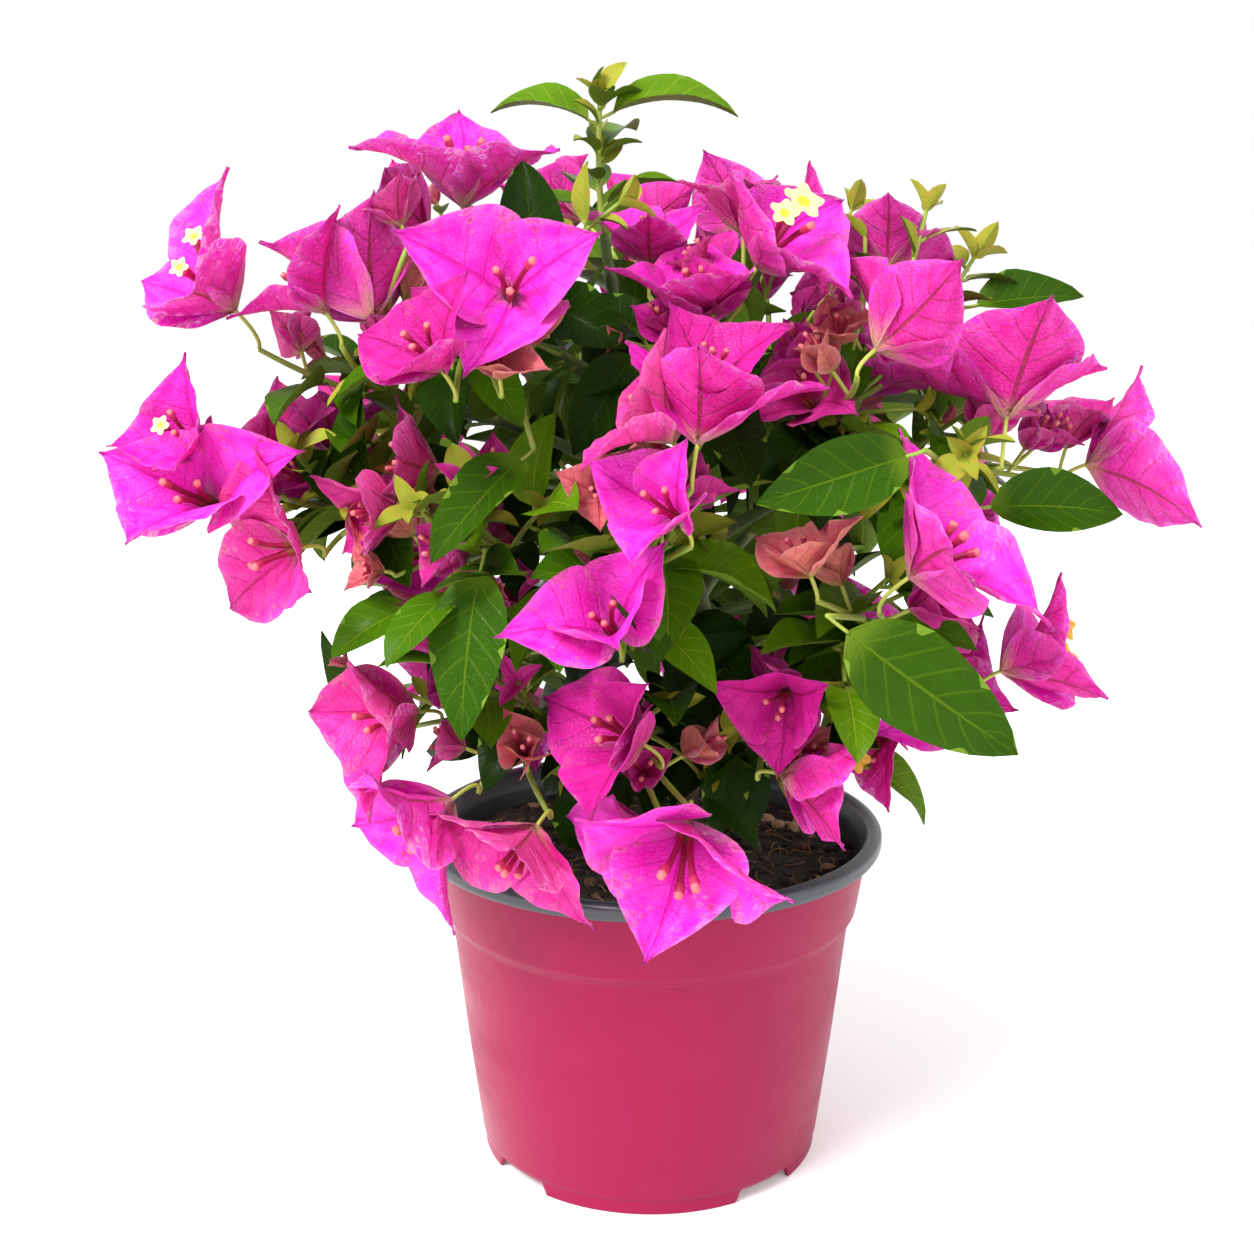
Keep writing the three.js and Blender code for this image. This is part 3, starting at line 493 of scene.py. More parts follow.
def mottled(name, rough, noise, first, second, depth):
    """A material of two tones, which one noise deals out and raises."""
    paint = Paint(name, Roughness=rough)
    marks = paint.noise(*noise).ramp(0.4, 0.7)
    paint.set(Base_Color=paint.blend(marks, srgb(*first), srgb(*second)))
    paint.bump(marks, depth)
    return paint


fork_way = bezier(trunk_corners, np.array([0.0, 1.0]))[1][0, 1]
leader_start = np.array(FORK) + GAP * fork_way
leader_corners = np.array([[leader_start, leader_start + LEADER_RISE * fork_way, LEADER_BEND, LEADER_TIP]])
leader_t = shares(LEADER_RINGS)
knots = KNOT_RISE * bell(leader_t * KNOTS % 1, 0.5, KNOT_LONG)
leader_radius = FORK_R + (LEADER_TIP_R - FORK_R) * leader_t + knots
leader_skin = tapered(barked(leader_corners, LEADER_RINGS, 24, leader_radius, LEADER_RELIEF, GREEN_GRAIN, 33))
stem_green = mottled("stem green", 0.55, (120, 5, 0.6, (1, 1, 0.3)), (70, 96, 38), (104, 112, 58), 0.0003)
piece("leader", [(leader_skin, 0)], [stem_green], ["leader_stem"])

# Boughs
# Green main limbs, one from the trunk or the leader to each mass of foliage but the top one, arching
# up as they grow outward. They taper to the twigs' thickness and carry the leader's fine ridges.
BOUGH_R, BOUGH_TIP_R, BOUGH_ARCH, BOUGH_RINGS = 2.3, 1.25, 0.14, 60
BOUGH_SWELL, SWELL_FADE = 0.5, 26  # the swelling at a bough's foot, and how fast it fades
BOUGH_RELIEF = 0.12
# name, height at which the bough leaves the stem, hub (side, out, high), seed, sprays, large leaves.
# spray: side, out, high, blooms, spacing, turn, face side, face up, bract length, leaves
# large leaf: side, out, high, heading side, heading up, length
MASSES = [
    ("high_left", 212, (-72, 62, 244), 11, [
        (-75, 132, 283, 1, 0, 84, -60, 46, 38, 2),
        (-67, 106, 282, 1, 0, 60, -91, 55, 29, 1),
        (-67, 90, 282, 1, 0, 90, -144, 56, 38, 1),
        (-61, 83, 304, 1, 0, 30, -97, 70, 18, 1),
    ], []),
    ("high_middle", 238, (-50, 36, 262), 12, [
        (-66, 59, 315, 1, 0, 23, 67, 85, 37, 1),
        (-25, 89, 284, 1, 0, -90, 5, 26, 33, 1),
        (-32, 111, 268, 1, 0, 50, -33, 41, 29, 2),
        (-25, 97, 264, 1, 0, 0, -10, 60, 15, 0),
    ], [(-24, 80, 240, -46, -30, 40)]),
    ("high_front", 246, (8, 32, 258), 13, [
        (-2, 35, 296, 1, 0, -90, 0, 80, 26, 1),
        (11, 61, 281, 1, 0, 180, 9, 78, 31, 1),
        (28, 70, 295, 1, 0, 30, 51, 49, 33, 1),
        (33, 46, 303, 1, 0, 90, 180, 82, 23, 0),
    ], []),
    ("high_right", 222, (46, 46, 242), 24, [
        (61, 75, 293, 1, 0, 90, 177, 57, 25, 3),
        (42, 96, 271, 1, 0, 148, 128, 28, 30, 1),
        (50, 69, 256, 2, 13, 30, 0, 70, 26, 2),
        (40, 78, 272, 1, 0, 90, 20, 75, 16, 0),
    ], [(66, 96, 276, 100, 8, 34)]),
    ("right", 196, (66, 66, 226), 15, [
        (61, 113, 258, 1, 0, 0, 156, 70, 39, 2),
        (78, 140, 233, 1, 0, 80, 104, 15, 34, 2),
        (84, 128, 240, 1, 0, 90, 60, 75, 24, 1),
    ], [(56, 107, 222, 95, 2, 40), (37, 115, 242, -72, -14, 42)]),
    ("right_low", 176, (52, 62, 188), 16, [
        (38, 122, 216, 1, 0, 55, 62, 37, 40, 2),
        (63, 122, 178, 1, 0, 90, 85, 26, 32, 1),
        (66, 94, 162, 2, 14, 0, 62, 10, 27, 1),
        (23, 98, 214, 1, 0, 60, -60, 62, 21, 1),
    ], [(24, 109, 200, 77, -37, 56)]),
    ("skirt_right", 134, (38, 42, 150), 17, [
        (24, 85, 171, 1, 0, 25, -19, -10, 26, 1),
        (30, 88, 147, 1, 0, 90, 72, -11, 29, 1),
        (54, 82, 150, 1, 0, 200, -40, -16, 24, 1),
    ], []),
    ("skirt_front", 126, (-2, 40, 152), 18, [
        (-6, 97, 168, 1, 0, 60, -51, 31, 33, 1),
        (4, 106, 137, 1, 0, -97, -8, -31, 38, 0),
        (-6, 88, 135, 1, 0, 60, -60, -10, 28, 0),
    ], []),
    ("front", 158, (0, 56, 198), 19, [
        (-7, 107, 200, 1, 0, 62, -18, 38, 30, 2),
        (1, 109, 230, 1, 0, 50, -32, 33, 29, 2),
        (7, 98, 254, 1, 0, 30, 106, 80, 32, 1),
        (0, 97, 252, 1, 0, 60, -93, 60, 27, 1),
        (9, 93, 264, 1, 0, 130, 0, 63, 26, 0),
        (-9, 98, 232, 1, 0, 40, -10, 20, 13, 0),
    ], []),
    ("skirt_left", 142, (-34, 46, 158), 20, [
        (-51, 98, 162, 1, 0, 180, -50, 2, 34, 1),
        (-41, 100, 134, 1, 0, 60, -57, -31, 39, 1),
        (-22, 99, 132, 1, 0, 55, -33, -32, 33, 1),
    ], [(-66, 84, 150, -74, 52, 34)]),
    ("left", 186, (-70, 70, 214), 21, [
        (-66, 142, 225, 1, 0, 155, -24, 22, 37, 1),
        (-70, 142, 241, 1, 0, 90, -42, 38, 28, 1),
        (-77, 114, 236, 1, 0, 30, -60, 50, 30, 2),
        (-76, 98, 239, 1, 0, 50, -142, 74, 24, 1),
        (-58, 125, 210, 1, 0, 100, -48, -4, 31, 1),
    ], []),
    ("left_front", 174, (-40, 52, 206), 22, [
        (-51, 100, 222, 1, 0, 0, -80, 0, 26, 2),
        (-52, 87, 233, 1, 0, 0, -82, 12, 27, 1),
        (-55, 79, 206, 1, 0, 90, -40, 10, 24, 1),
        (-29, 94, 202, 1, 0, 20, -20, 10, 13, 1),
        (-49, 104, 206, 1, 0, 0, -60, 10, 13, 0),
    ], [(-29, 94, 214, -28, -66, 46)]),
]
# name, how many, first side, last side, hub out and high, spray out and high, from, seed
BACK_TIERS = [
    ("back_low", 3, 108, 252, 44, 160, 90, 156, 150, 40),
    ("back_middle", 4, 102, 262, 58, 212, 111, 218, 184, 50),
    ("back_high", 3, 112, 250, 40, 256, 78, 284, 232, 60),
]
# from bough to bough up the stem, between blooms, the sprays' heights, and where a spray faces level
BACK_STEP, BACK_SPACING, BACK_SPRAYS, DENSE = 6, 14, (-11, 17), 200
# chance out and up, tilt by height, bract length and its spread, and every other hub's rise
BACK_SHIFT, BACK_LIFT, BACK_UP, BACK_BRACT, BACK_SPREAD, HUB_STEP = 16, 8, 0.3, 28, 4, 6


def polar(side, out, high):
    """A point from its side in degrees (0 the front, 90 the right), its distance out and its height."""
    turn = math.radians(side)
    return np.array([out * math.sin(turn), -out * math.cos(turn), high])


def dice(seed):
    """Seeded numbers from 0 to 1: each state is the last times 1664525 plus 1013904223, in 32 bits."""
    state = seed
    while True:
        state = (state * 1664525 + 1013904223) % 2 ** 32
        yield state / 2 ** 32


def back_masses(name, masses, first, last, hub_out, hub_high, out, high, start, seed):
    """The rows of one tier of the far side, spread evenly over its sides with a little chance."""
    width = (last - first) / masses
    for i in range(masses):
        random = dice(seed + i)
        side = first + width * (i + 0.5)
        sprays = []
        for k, lift in enumerate(BACK_SPRAYS):
            turn = side + width * ((k + 0.5) / len(BACK_SPRAYS) - 0.5)
            reach = out + BACK_SHIFT * (next(random) - 0.5)
            level = high + lift + BACK_LIFT * (next(random) - 0.5)
            count = 1 + int(next(random) * 2)
            sprays.append((turn, reach, level, count, BACK_SPACING, 360 * next(random), turn,
                           (level - DENSE) * BACK_UP, BACK_BRACT + BACK_SPREAD * next(random), 2))
        hub = (side, hub_out, hub_high + HUB_STEP * (i % 2))
        yield f"{name}_{i + 1}", start + BACK_STEP * i, hub, seed + i, sprays, []


def stem_at(high):
    """The point of the trunk or leader at a height, found along its finely divided curve."""
    path = bezier(trunk_corners if high < FORK[2] else leader_corners, np.linspace(0, 1, 2000))[0][0]
    return np.array([np.interp(high, path[:, 2], path[:, axis]) for axis in range(3)])


def bough_corners(start_high, hub):
    """A bough's three corners: on the stem, above the middle by its arch, and at the mass's hub."""
    start, end = stem_at(start_high), polar(*hub)
    middle = (start + end) / 2 + UP * BOUGH_ARCH * np.linalg.norm(end - start)
    return np.stack([start, middle, end])


rows = MASSES + [row for tier in BACK_TIERS for row in back_masses(*tier)]
limbs = np.stack([bough_corners(row[1], row[2]) for row in rows])
bough_t = shares(BOUGH_RINGS)
bough_radius = BOUGH_R + (BOUGH_TIP_R - BOUGH_R) * bough_t + BOUGH_SWELL * np.exp(-bough_t * SWELL_FADE)
bough_skins = barked(limbs, BOUGH_RINGS, 12, bough_radius, BOUGH_RELIEF, GREEN_GRAIN, 35)
piece("bough_barks", [(bough_skins, 0)], [stem_green],
      ["bough_" + row[0] for row in rows])

# Twigs
# Thin green twigs that branch from each bough's tip: one to each spray of blooms, one to each large
# leaf, short shoots between them, and young sprigs that rise past them. Blooms hang on pedicels as
# thin as wire. The loops below also note where each leaf, bloom and bud grows.
TWIG_R, SHOOT_R, PEDICEL_R, THIN_TIP, TWIG_REACH = 1.1, 0.9, 0.6, 0.72, 0.45
# where a spray's pedicels part and how far back its blooms sit, by bract length; how they fan out, by mm
NODE_BACK, NODE_DROP, BLOOM_BACK, BLOOM_FAN = 0.55, 0.12, 0.3, 0.05
BLOOM_LEAST, BLOOM_SPREAD = 0.94, 0.14
LEAF_LEAST, LEAF_SPREAD = 41, 14
SHOOTS, SHOOT_FAN, SHOOT_LEAST, SHOOT_SPREAD, SHOOT_LEAVES, LEAF_TURN = 4, 150, 20, 18, 3, 137
SHOOT_BEND, TWIG_RINGS = 1.2, 14
SPRAY_LEAF, SMALL_LEAF, LARGE_LEAF, TOP_LEAF, INNER_LEAF = range(5)  # the kinds of leaf
STEM_LONG = 9.0  # from a bough's tip to where its twigs part
YOUNG_AT, YOUNG_STALK = 0.72, 9.0  # where on its twig a young bloom sits, and how far off
INNER_LEAVES, SPRIG_LEAVES, TOP_SMALL_LEAVES = 7, 9, 6
# least and most length in mm, of the leaves and of a young bloom's bracts
SMALL_LONG, INNER_LONG, SPRIG_LONG, TOP_SMALL_LONG = (13, 30), (22, 36), (9, 19), (11, 19)
YOUNG_BRACT = (12, 18)
TOP_TIP = (-15.5, -5, 336)
# share of the way up the top shoot, heading side, heading up, length
TOP_LEAVES = [
    (0.12, -50, 8, 26), (0.2, 75, 22, 26), (0.3, 200, 10, 30), (0.55, 100, 30, 15),
    (0.6, 160, 20, 30), (0.8, -88, 6, 34), (0.85, 84, -2, 43), (0.9, 10, 20, 16),
    (0.95, -60, 62, 11), (0.97, 60, 50, 14),
]
# the sprigs: mass, and where each ends by side, out and height
SPRIGS = [("high_right", 62, 86, 303), ("high_right", 71, 97, 290), ("high_right", 55, 72, 296),
          ("right", 47, 113, 239), ("left_front", -41, 98, 224), ("left_front", -33, 92, 230),
          ("high_middle", -12, 44, 305), ("left", -66, 112, 236), ("skirt_left", -58, 104, 176),
          ("back_high_1", 130, 88, 304), ("back_high_3", 232, 90, 306), ("back_middle_2", 160, 122, 250)]


def heading(side, up):
    """A unit direction that looks to a side and so many degrees up."""
    rise = math.radians(up)
    return polar(side, math.cos(rise), math.sin(rise))


def between(first, second, angle):
    """The unit direction part way between two at right angles, so many degrees from the first."""
    return first * math.cos(math.radians(angle)) + second * math.sin(math.radians(angle))


def spoke(axis, angle):
    """The unit direction across an axis, so many degrees from level, for one who looks at its tip."""
    right = unit(np.cross(UP, axis))
    return between(right, np.cross(axis, right), angle)


def twig(start, way, end):
    """The corners of a twig that leaves its start one way and reaches its end."""
    return np.stack([start, start + way * TWIG_REACH * np.linalg.norm(end - start), end])


def at(corners, t):
    """One point and one direction of one curve."""
    point, way = bezier(corners[None], np.array([t]))
    return point[0, 0], way[0, 0]


def aside(curve, t, ahead, turn, rise=0.0):
    """A point of a curve, and the direction that goes "ahead" parts along it, one part out at "turn"
    degrees and "rise" parts up."""
    root, way = at(curve, t)
    return root, unit(way * ahead + spoke(way, turn) + UP * rise)


twigs, shoots, pedicels, blooms, young, leaves, tips, starts = [], [], [], [], [], [], [], {}
for (name, _, _, seed, sprays, large), limb in zip(rows, limbs):
    axis = unit(limb[2] - limb[1])
    start = limb[2] + GAP * axis
    junction = start + STEM_LONG * axis
    random, extra = dice(seed), np.random.default_rng(seed)
    starts[name] = (junction, axis)
    twigs.append(np.stack([limb[2] - axis, start + 0.5 * STEM_LONG * axis, junction]))
    spray_twigs = []
    for number, spray in enumerate(sprays):
        side, out, high, count, spacing, turn, face_side, face_up, length, leafy = spray
        face, middle = heading(face_side, face_up), polar(side, out, high)
        node = middle - NODE_BACK * length * face - NODE_DROP * length * UP
        stalk = twig(junction, axis, node)
        twigs.append(stalk)
        spray_twigs.append((stalk, leafy))
        for k in range(count):
            shift = spoke(face, turn + 360 / count * k)
            look = unit(face + shift * spacing * BLOOM_FAN)
            centre = middle + shift * spacing - look * BLOOM_BACK * length
            size = length * (BLOOM_LEAST + BLOOM_SPREAD * next(random))
            roll = turn + (360 * next(random) if count > 1 else 0)
            blooms.append((centre, look, size, roll, (name, number, k)))
            pedicels.append(np.stack([node, centre - look * 0.3 * length, centre]))
    for stalk, leafy in spray_twigs:
        for k in range(leafy):
            root, way = at(stalk, 0.35 + 0.5 * k / leafy)
            across = way * 0.5 + spoke(way, 0) * (1 if k % 2 else -1)
            out_way = unit(across + UP * (0.5 * next(random) - 0.3))
            leaves.append((root, out_way, LEAF_LEAST + LEAF_SPREAD * next(random), SPRAY_LEAF))
    away = unit(junction * [1, 1, 0])
    for k in range(SHOOTS):
        swing = math.radians(SHOOT_FAN * ((k + 0.5) / SHOOTS - 0.5) + 20 * (next(random) - 0.5))
        outward = away * math.cos(swing) + np.cross(UP, away) * math.sin(swing)
        way = unit(outward + UP * (1.5 * next(random) - 0.6))
        end = junction + way * (SHOOT_LEAST + SHOOT_SPREAD * next(random))
        shoots.append(np.stack([junction, (junction + end) / 2 + extra.normal(0, SHOOT_BEND, 3), end]))
        for j in range(1, SHOOT_LEAVES + 1):
            outward = spoke(way, LEAF_TURN * j + 60 * k) * (0.1 if j == SHOOT_LEAVES else 1)
            length = LEAF_LEAST + LEAF_SPREAD * next(random)
            root = at(shoots[-1], 0.55 + 0.42 * (j - 1) / (SHOOT_LEAVES - 1))[0]
            leaves.append((root, unit(way * 0.6 + outward), length, SPRAY_LEAF))
        tips.append((end, way))
    for side, out, high, turn, up, length in large:
        root = polar(side, out, high)
        twigs.append(twig(junction, heading(side, 10), root))
        leaves.append((root, heading(turn, up), length, LARGE_LEAF))
    for stalk in [stalk for stalk, _ in spray_twigs] + shoots[-SHOOTS:]:
        t, ahead = extra.uniform(0.2, 0.9), extra.uniform(0.2, 0.8)
        root, way = aside(stalk, t, ahead, extra.uniform(0, 360))
        if way[2] > -0.75:
            leaves.append((root, way, extra.uniform(*SMALL_LONG), SMALL_LEAF))
    for number, (stalk, _) in enumerate(spray_twigs):
        root, look = aside(stalk, YOUNG_AT, 0.5, extra.uniform(0, 180), 0.4)
        centre, size = root + look * YOUNG_STALK, extra.uniform(*YOUNG_BRACT)
        young.append((centre, look, size, extra.uniform(0, 120), (name, number, "young")))
        pedicels.append(np.stack([root, root + look * 0.5 * YOUNG_STALK, centre]))

# small leaves that fill the inside of the crown, along the outer part of every bough; most take the dark
# tint, which is painted shade
inner_random = np.random.default_rng(61)
for limb in limbs:
    for k in range(INNER_LEAVES):
        t, ahead = inner_random.uniform(0.35, 1.0), inner_random.uniform(0.1, 0.8)
        root, way = aside(limb, t, ahead, LEAF_TURN * k)
        leaves.append((root, way, inner_random.uniform(*INNER_LONG), INNER_LEAF))

top_tip, top_way = np.array(TOP_TIP, float), unit(np.array(LEADER_TIP) - LEADER_BEND)
top_stem = twig(np.array(LEADER_TIP, float), top_way, top_tip)
twigs.append(top_stem)
tips.append((top_tip, top_way))
for t, side, up, length in TOP_LEAVES:
    leaves.append((at(top_stem, t)[0], heading(side, up), length, TOP_LEAF))
sprig_random, top_random = np.random.default_rng(41), np.random.default_rng(3)
for name, side, out, high in SPRIGS:
    sprig = twig(*starts[name], polar(side, out, high))
    shoots.append(sprig)
    tips.append(at(sprig, 1.0))
    for k in range(SPRIG_LEAVES):
        root, way = aside(sprig, 0.62 + 0.042 * k, 0.7, LEAF_TURN * k, sprig_random.uniform(-0.1, 0.4))
        leaves.append((root, way, sprig_random.uniform(*SPRIG_LONG), SMALL_LEAF))
for k in range(TOP_SMALL_LEAVES):
    root, way = aside(top_stem, 0.4 + 0.1 * k, 0.5, LEAF_TURN * k, top_random.uniform(-0.2, 0.5))
    leaves.append((root, way, top_random.uniform(*TOP_SMALL_LONG), TOP_LEAF))

fresh_green = mottled("fresh twig", 0.5, (200, 4, 0.6, (1, 1, 0.4)), (132, 158, 50), (150, 146, 66), 0.0002)
pedicel_green = plain("pedicel", (164, 172, 68), 0.5)
thin_out = np.linspace(1, THIN_TIP, TWIG_RINGS)[None, :, None]
# corners, rings, sides, radius, paint
stems = [(twigs, TWIG_RINGS, 8, TWIG_R * thin_out, 0), (shoots, TWIG_RINGS, 7, SHOOT_R * thin_out, 0),
         (pedicels, 10, 7, PEDICEL_R, 1)]
piece("twigs", [(tapered(tubes(np.stack(corners), steps, sides, radius)), paint)
                for corners, steps, sides, radius, paint in stems],
      [fresh_green, pedicel_green], [])

# Leaves
# Glossy pointed leaves, folded a little along the midrib and drooping at the tip, each on a short
# stalk. They are thin closed blades; their veins are drawn and raised by the material. Leaves inside
# the crown mostly take the dark tint, as painted shade.
LEAF_WIDE, LEAF_LEAN, LARGE_LEAN, TOP_LEAN, TOP_LIFT, LEAF_STALK = 0.52, 0.45, 1.6, 0.3, 0.45, 0.1
SPRAY_SHARE, LARGE_SHARE = 0.68, 1.12  # of the length that their rows give
LEAF_BOW, LEAF_THICK, LEAF_STEPS, LEAF_COLUMNS, LEAF_SWELLS = (0.62, 0.95), 0.35, 12, 8, (3, 0.003)
STALK_R, STALK_SAG, STALK_BACK, STALK_ON = 0.55, 0.25, 0.6, 0.8
BLOOM_ROOM, LEAF_ROOM = 0.52, 0.24  # the room about a bloom or large leaf, as a share of its size
FOOT_CROWD = 1.15  # how closely a blade's steps crowd at its foot
JAG, JAGS, FLUTTER_EDGE, SWELL_LEAN = 0.03, 9, 1.6, 0.2
# in mm: how far out from the axis the crown's inside reaches, where leaves take the painted shade tint, how
# long a young leaf is at most, and the front's end
SHADE_INSIDE, YOUNG_LONG, TOP_YOUNG_LONG, FRONT_TO = 72, 22, 20, 5
CRISP = 60  # degrees over which a blade's edge stays crisp


def columns_of(rows):
    """Turns rows of values into one array for each of their columns."""
    return [np.array(column) for column in zip(*rows)]


def blades(root, ahead, face, length, wide, bow, fold, cup, droop, sway, wave, phase, thick, steps,
           columns, swells):
    """Thin closed leaves or bracts, k by steps by 2*columns-2 by 3 points, and their uv. u runs along the
    midrib, an arc that turns down by "droop" radians. The half width is u^bow0 (1-u)^bow1, its peak
    made 1, with a small ripple. v crosses the face from -1 to 1 and comes back on the underside,
    lowered by the thickness times 1-v^2. Each half is tipped up by "fold" radians, raised by cup v^2
    of the half width, and waved near its edge by wave sin(3 pi u + phase). The tip sways sideways by
    sway u^2 of the length. "swells" says how often it swells along its length, and how high by it."""
    u = shares(steps) ** FOOT_CROWD
    over, back = np.linspace(-1, 1, columns), np.linspace(1, -1, columns)[1:-1]
    v = np.concatenate([over, back])[None, None]
    under = np.concatenate([0 * over, 1 - back ** 2])[None, None]
    length, wide, fold, cup, droop, sway, wave, phase = (
        np.broadcast_to(value, len(root))[:, None, None]
        for value in (length, wide, fold, cup, droop, sway, wave, phase))
    peak = bow[0] / sum(bow)
    half = length * wide / 2 * (u / peak) ** bow[0] * ((1 - u) / (1 - peak)) ** bow[1]
    half = half * (1 + JAG * np.sin(JAGS * u + phase * 3))
    side = unit(np.cross(ahead, face))
    normal = np.cross(side, ahead)
    bent = droop * u
    forth, sink = length * np.sin(bent) / droop, length * (1 - np.cos(bent)) / droop
    off = np.abs(v)
    flutter = wave * length * off ** FLUTTER_EDGE * np.sin(1.5 * TURN * u + phase + np.sign(v) * 1.3)
    flutter = flutter * np.sin(math.pi * u) ** 0.5
    swell = np.sin(swells[0] * TURN * (u - SWELL_LEAN * off) + phase) * off * (1 - off * 0.7) * 3
    lift = half * (np.sin(fold) * off + cup * v ** 2) + flutter + swells[1] * length * swell - thick * under
    out = half * v * np.cos(fold) + sway * length * u ** 2
    axis, across, above = (way[:, None, None] for way in (ahead, side, normal))
    points = (root[:, None, None] + axis * (forth + lift * np.sin(bent))[..., None]
              - above * (sink - lift * np.cos(bent))[..., None] + across * out[..., None])
    uv = np.stack(np.broadcast_arrays(u, (v + 1) / 2 + 0 * u), -1)
    return points, uv


def vein_paint(name, face_tone, vein_tone, edge_and_highlight_tone, base_tone, veins, show, depth, **finish):
    """A blade's material, drawn from its own uv alone: a midrib, side veins that lean forward, a fine
    net between them, a paler foot, a toned edge, and lighter mottled patches, partly random tone and
    partly painted highlight."""
    paint = Paint(name, **finish)
    place = paint.node("UVMap", {"uv_map": "OFBake"}, {})
    along = paint.node("SeparateXYZ", {}, {0: place})
    across = paint.node("SeparateXYZ", {}, {0: place}, 1)
    off = abs(across * 2 - 1)
    midrib = (1 - off.ramp(0.012, 0.055)) * (1 - along.ramp(0.75, 1.0) * 0.5)
    step = (along - off * 0.2) * veins
    side_vein = (1 - abs(step.math("FRACT", step) - 0.5).ramp(0.015, 0.1)) * (1 - off.ramp(0.75, 1.0))
    spread = paint.node("VectorMath", {"operation": "MULTIPLY"}, {0: place, 1: (veins * 4.4, veins * 3.0, 1)})
    net = paint.node("TexVoronoi", {"feature": "DISTANCE_TO_EDGE", "voronoi_dimensions": "2D"},
                     {"Vector": spread, "Scale": 1.0}).ramp(0.0, 0.14)
    mottle_and_highlight = paint.node("TexNoise", {"noise_dimensions": "2D"},
                        {"Vector": place, "Scale": 5.0, "Detail": 4.0})
    vein = midrib.math("MAXIMUM", midrib, side_vein * 0.45)
    # lighter patches toward the edge tone: partly random tone, partly painted highlight
    tone = paint.blend(mottle_and_highlight.ramp(0.35, 0.7) * 0.5, face_tone, edge_and_highlight_tone)
    tone = paint.blend(off.ramp(0.7, 1.0) * 0.5, tone, edge_and_highlight_tone)
    tone = paint.blend((1 - net) * 0.12 * show + vein * show, tone, vein_tone)
    paint.set(Base_Color=paint.blend((1 - along.ramp(0.0, 0.2)) * 0.8, tone, base_tone))
    paint.bump(net * 0.35 - vein, depth)
    return paint


DEEP, GREEN, BRIGHT, SHADE_DARK, FRESH = range(5)  # the rows of LEAF_TINTS
# name, face, vein, edge (also the tone of the lighter patches, partly painted highlight) and foot, in screen
# colours
LEAF_TINTS = [
    ("leaf deep", (38, 70, 2), (96, 124, 20), (44, 78, 4), (94, 122, 26)),
    ("leaf green", (56, 94, 3), (124, 148, 34), (64, 104, 5), (114, 140, 34)),
    ("leaf bright", (76, 112, 6), (142, 166, 46), (86, 124, 8), (128, 152, 40)),
    # the dark row is painted shade for leaves inside the crown; a few outer leaves take it at random
    ("leaf dark painted shade", (20, 42, 1), (54, 80, 14), (24, 48, 2), (54, 80, 16)),
    ("leaf young", (150, 166, 48), (190, 196, 98), (184, 148, 66), (182, 188, 84)),
]
glossy = {"Roughness": 0.26, "Specular_IOR_Level": 0.07}
leaf_paints = [vein_paint(name, *(srgb(*tone) for tone in tones), 7, 0.42, 0.0002, **glossy)
               for name, *tones in LEAF_TINTS]
leaf_back = vein_paint("leaf underside", srgb(90, 122, 26), srgb(142, 162, 66), srgb(98, 128, 32),
                       srgb(126, 150, 54), 7, 0.6, 0.0002, Roughness=0.55, Specular_IOR_Level=0.15)


def mass_nodes(far):
    """The nodes of the masses on the far side, or of all the others but the top's."""
    return ["mass_" + row[0] for row in rows if row[0].startswith("back") == far]


def kept_out(leaf):
    """Whether a small leaf's root, middle or tip lies in the room of some bloom or large leaf."""
    root, way, length, kind = leaf
    spots = root + way * length * np.array([[0.15], [0.55], [1.0]])
    near = np.linalg.norm(spots[:, None] - room_middles, axis=-1) < room_sizes
    return kind not in (LARGE_LEAF, TOP_LEAF) and near.any()


# each bloom's middle, and three points along each large leaf, with the room that they keep
rooms = [(centre + 0.5 * size * look, BLOOM_ROOM * size) for centre, look, size, _, _ in blooms + young]
rooms += [(root + way * length * share, LEAF_ROOM * length)
          for root, way, length, kind in leaves if kind == LARGE_LEAF for share in (0.3, 0.55, 0.8)]
room_middles, room_sizes = columns_of(rooms)
leaves = [leaf for leaf in leaves if not kept_out(leaf)]
leaf_random = np.random.default_rng(5)
leaf_root, leaf_way, leaf_long, leaf_kind = columns_of(leaves)
is_large, is_top, is_inner = (leaf_kind == kind for kind in (LARGE_LEAF, TOP_LEAF, INNER_LEAF))
leaf_long = leaf_long * np.select([leaf_kind == SPRAY_LEAF, is_large], [SPRAY_SHARE, LARGE_SHARE], 1.0)
leaf_out = unit(leaf_root * [1, 1, 0] + 1e-6)
leaf_lean = np.select([is_large, is_top], [LARGE_LEAN, TOP_LEAN], LEAF_LEAN)[:, None]
leaf_out = np.where(is_large[:, None], unit(leaf_out + [0.0, -0.5, 0.0]), leaf_out)
leaf_out = np.where(is_top[:, None], [0.0, -1.0, 0.0], leaf_out)
leaf_face = unit(UP + leaf_lean * leaf_out + leaf_random.normal(0, 0.26, leaf_root.shape))
leaf_way = unit(leaf_way + TOP_LIFT * UP * is_top[:, None])
leaf_start = leaf_root + leaf_way * (LEAF_STALK * leaf_long)[:, None]
count = len(leaves)
leaf_wide = LEAF_WIDE * np.where(is_large, 0.95, leaf_random.uniform(0.96, 1.2, count))
# fold, cup, droop, sway, wave and phase
leaf_forms = [leaf_random.uniform(0.15, 0.5, count), leaf_random.uniform(-0.1, 0.25, count),
              np.select([is_large, is_top], [0.25, 0.9], leaf_random.uniform(0.25, 0.9, count)),
              leaf_random.normal(0, 0.05, count), leaf_random.uniform(0.0, 0.02, count),
              leaf_random.uniform(0, TURN, count)]
leaf_points, leaf_uv = blades(leaf_start, leaf_way, leaf_face, leaf_long * (1 - LEAF_STALK), leaf_wide,
                              LEAF_BOW, *leaf_forms, LEAF_THICK, LEAF_STEPS, LEAF_COLUMNS, LEAF_SWELLS)
tone_roll = leaf_random.uniform(0, 1, count)
# leaves this near the stem stand in the crown's inside, where the dark tint paints shade
shaded_inside = np.linalg.norm(leaf_root[:, :2], axis=1) < SHADE_INSIDE
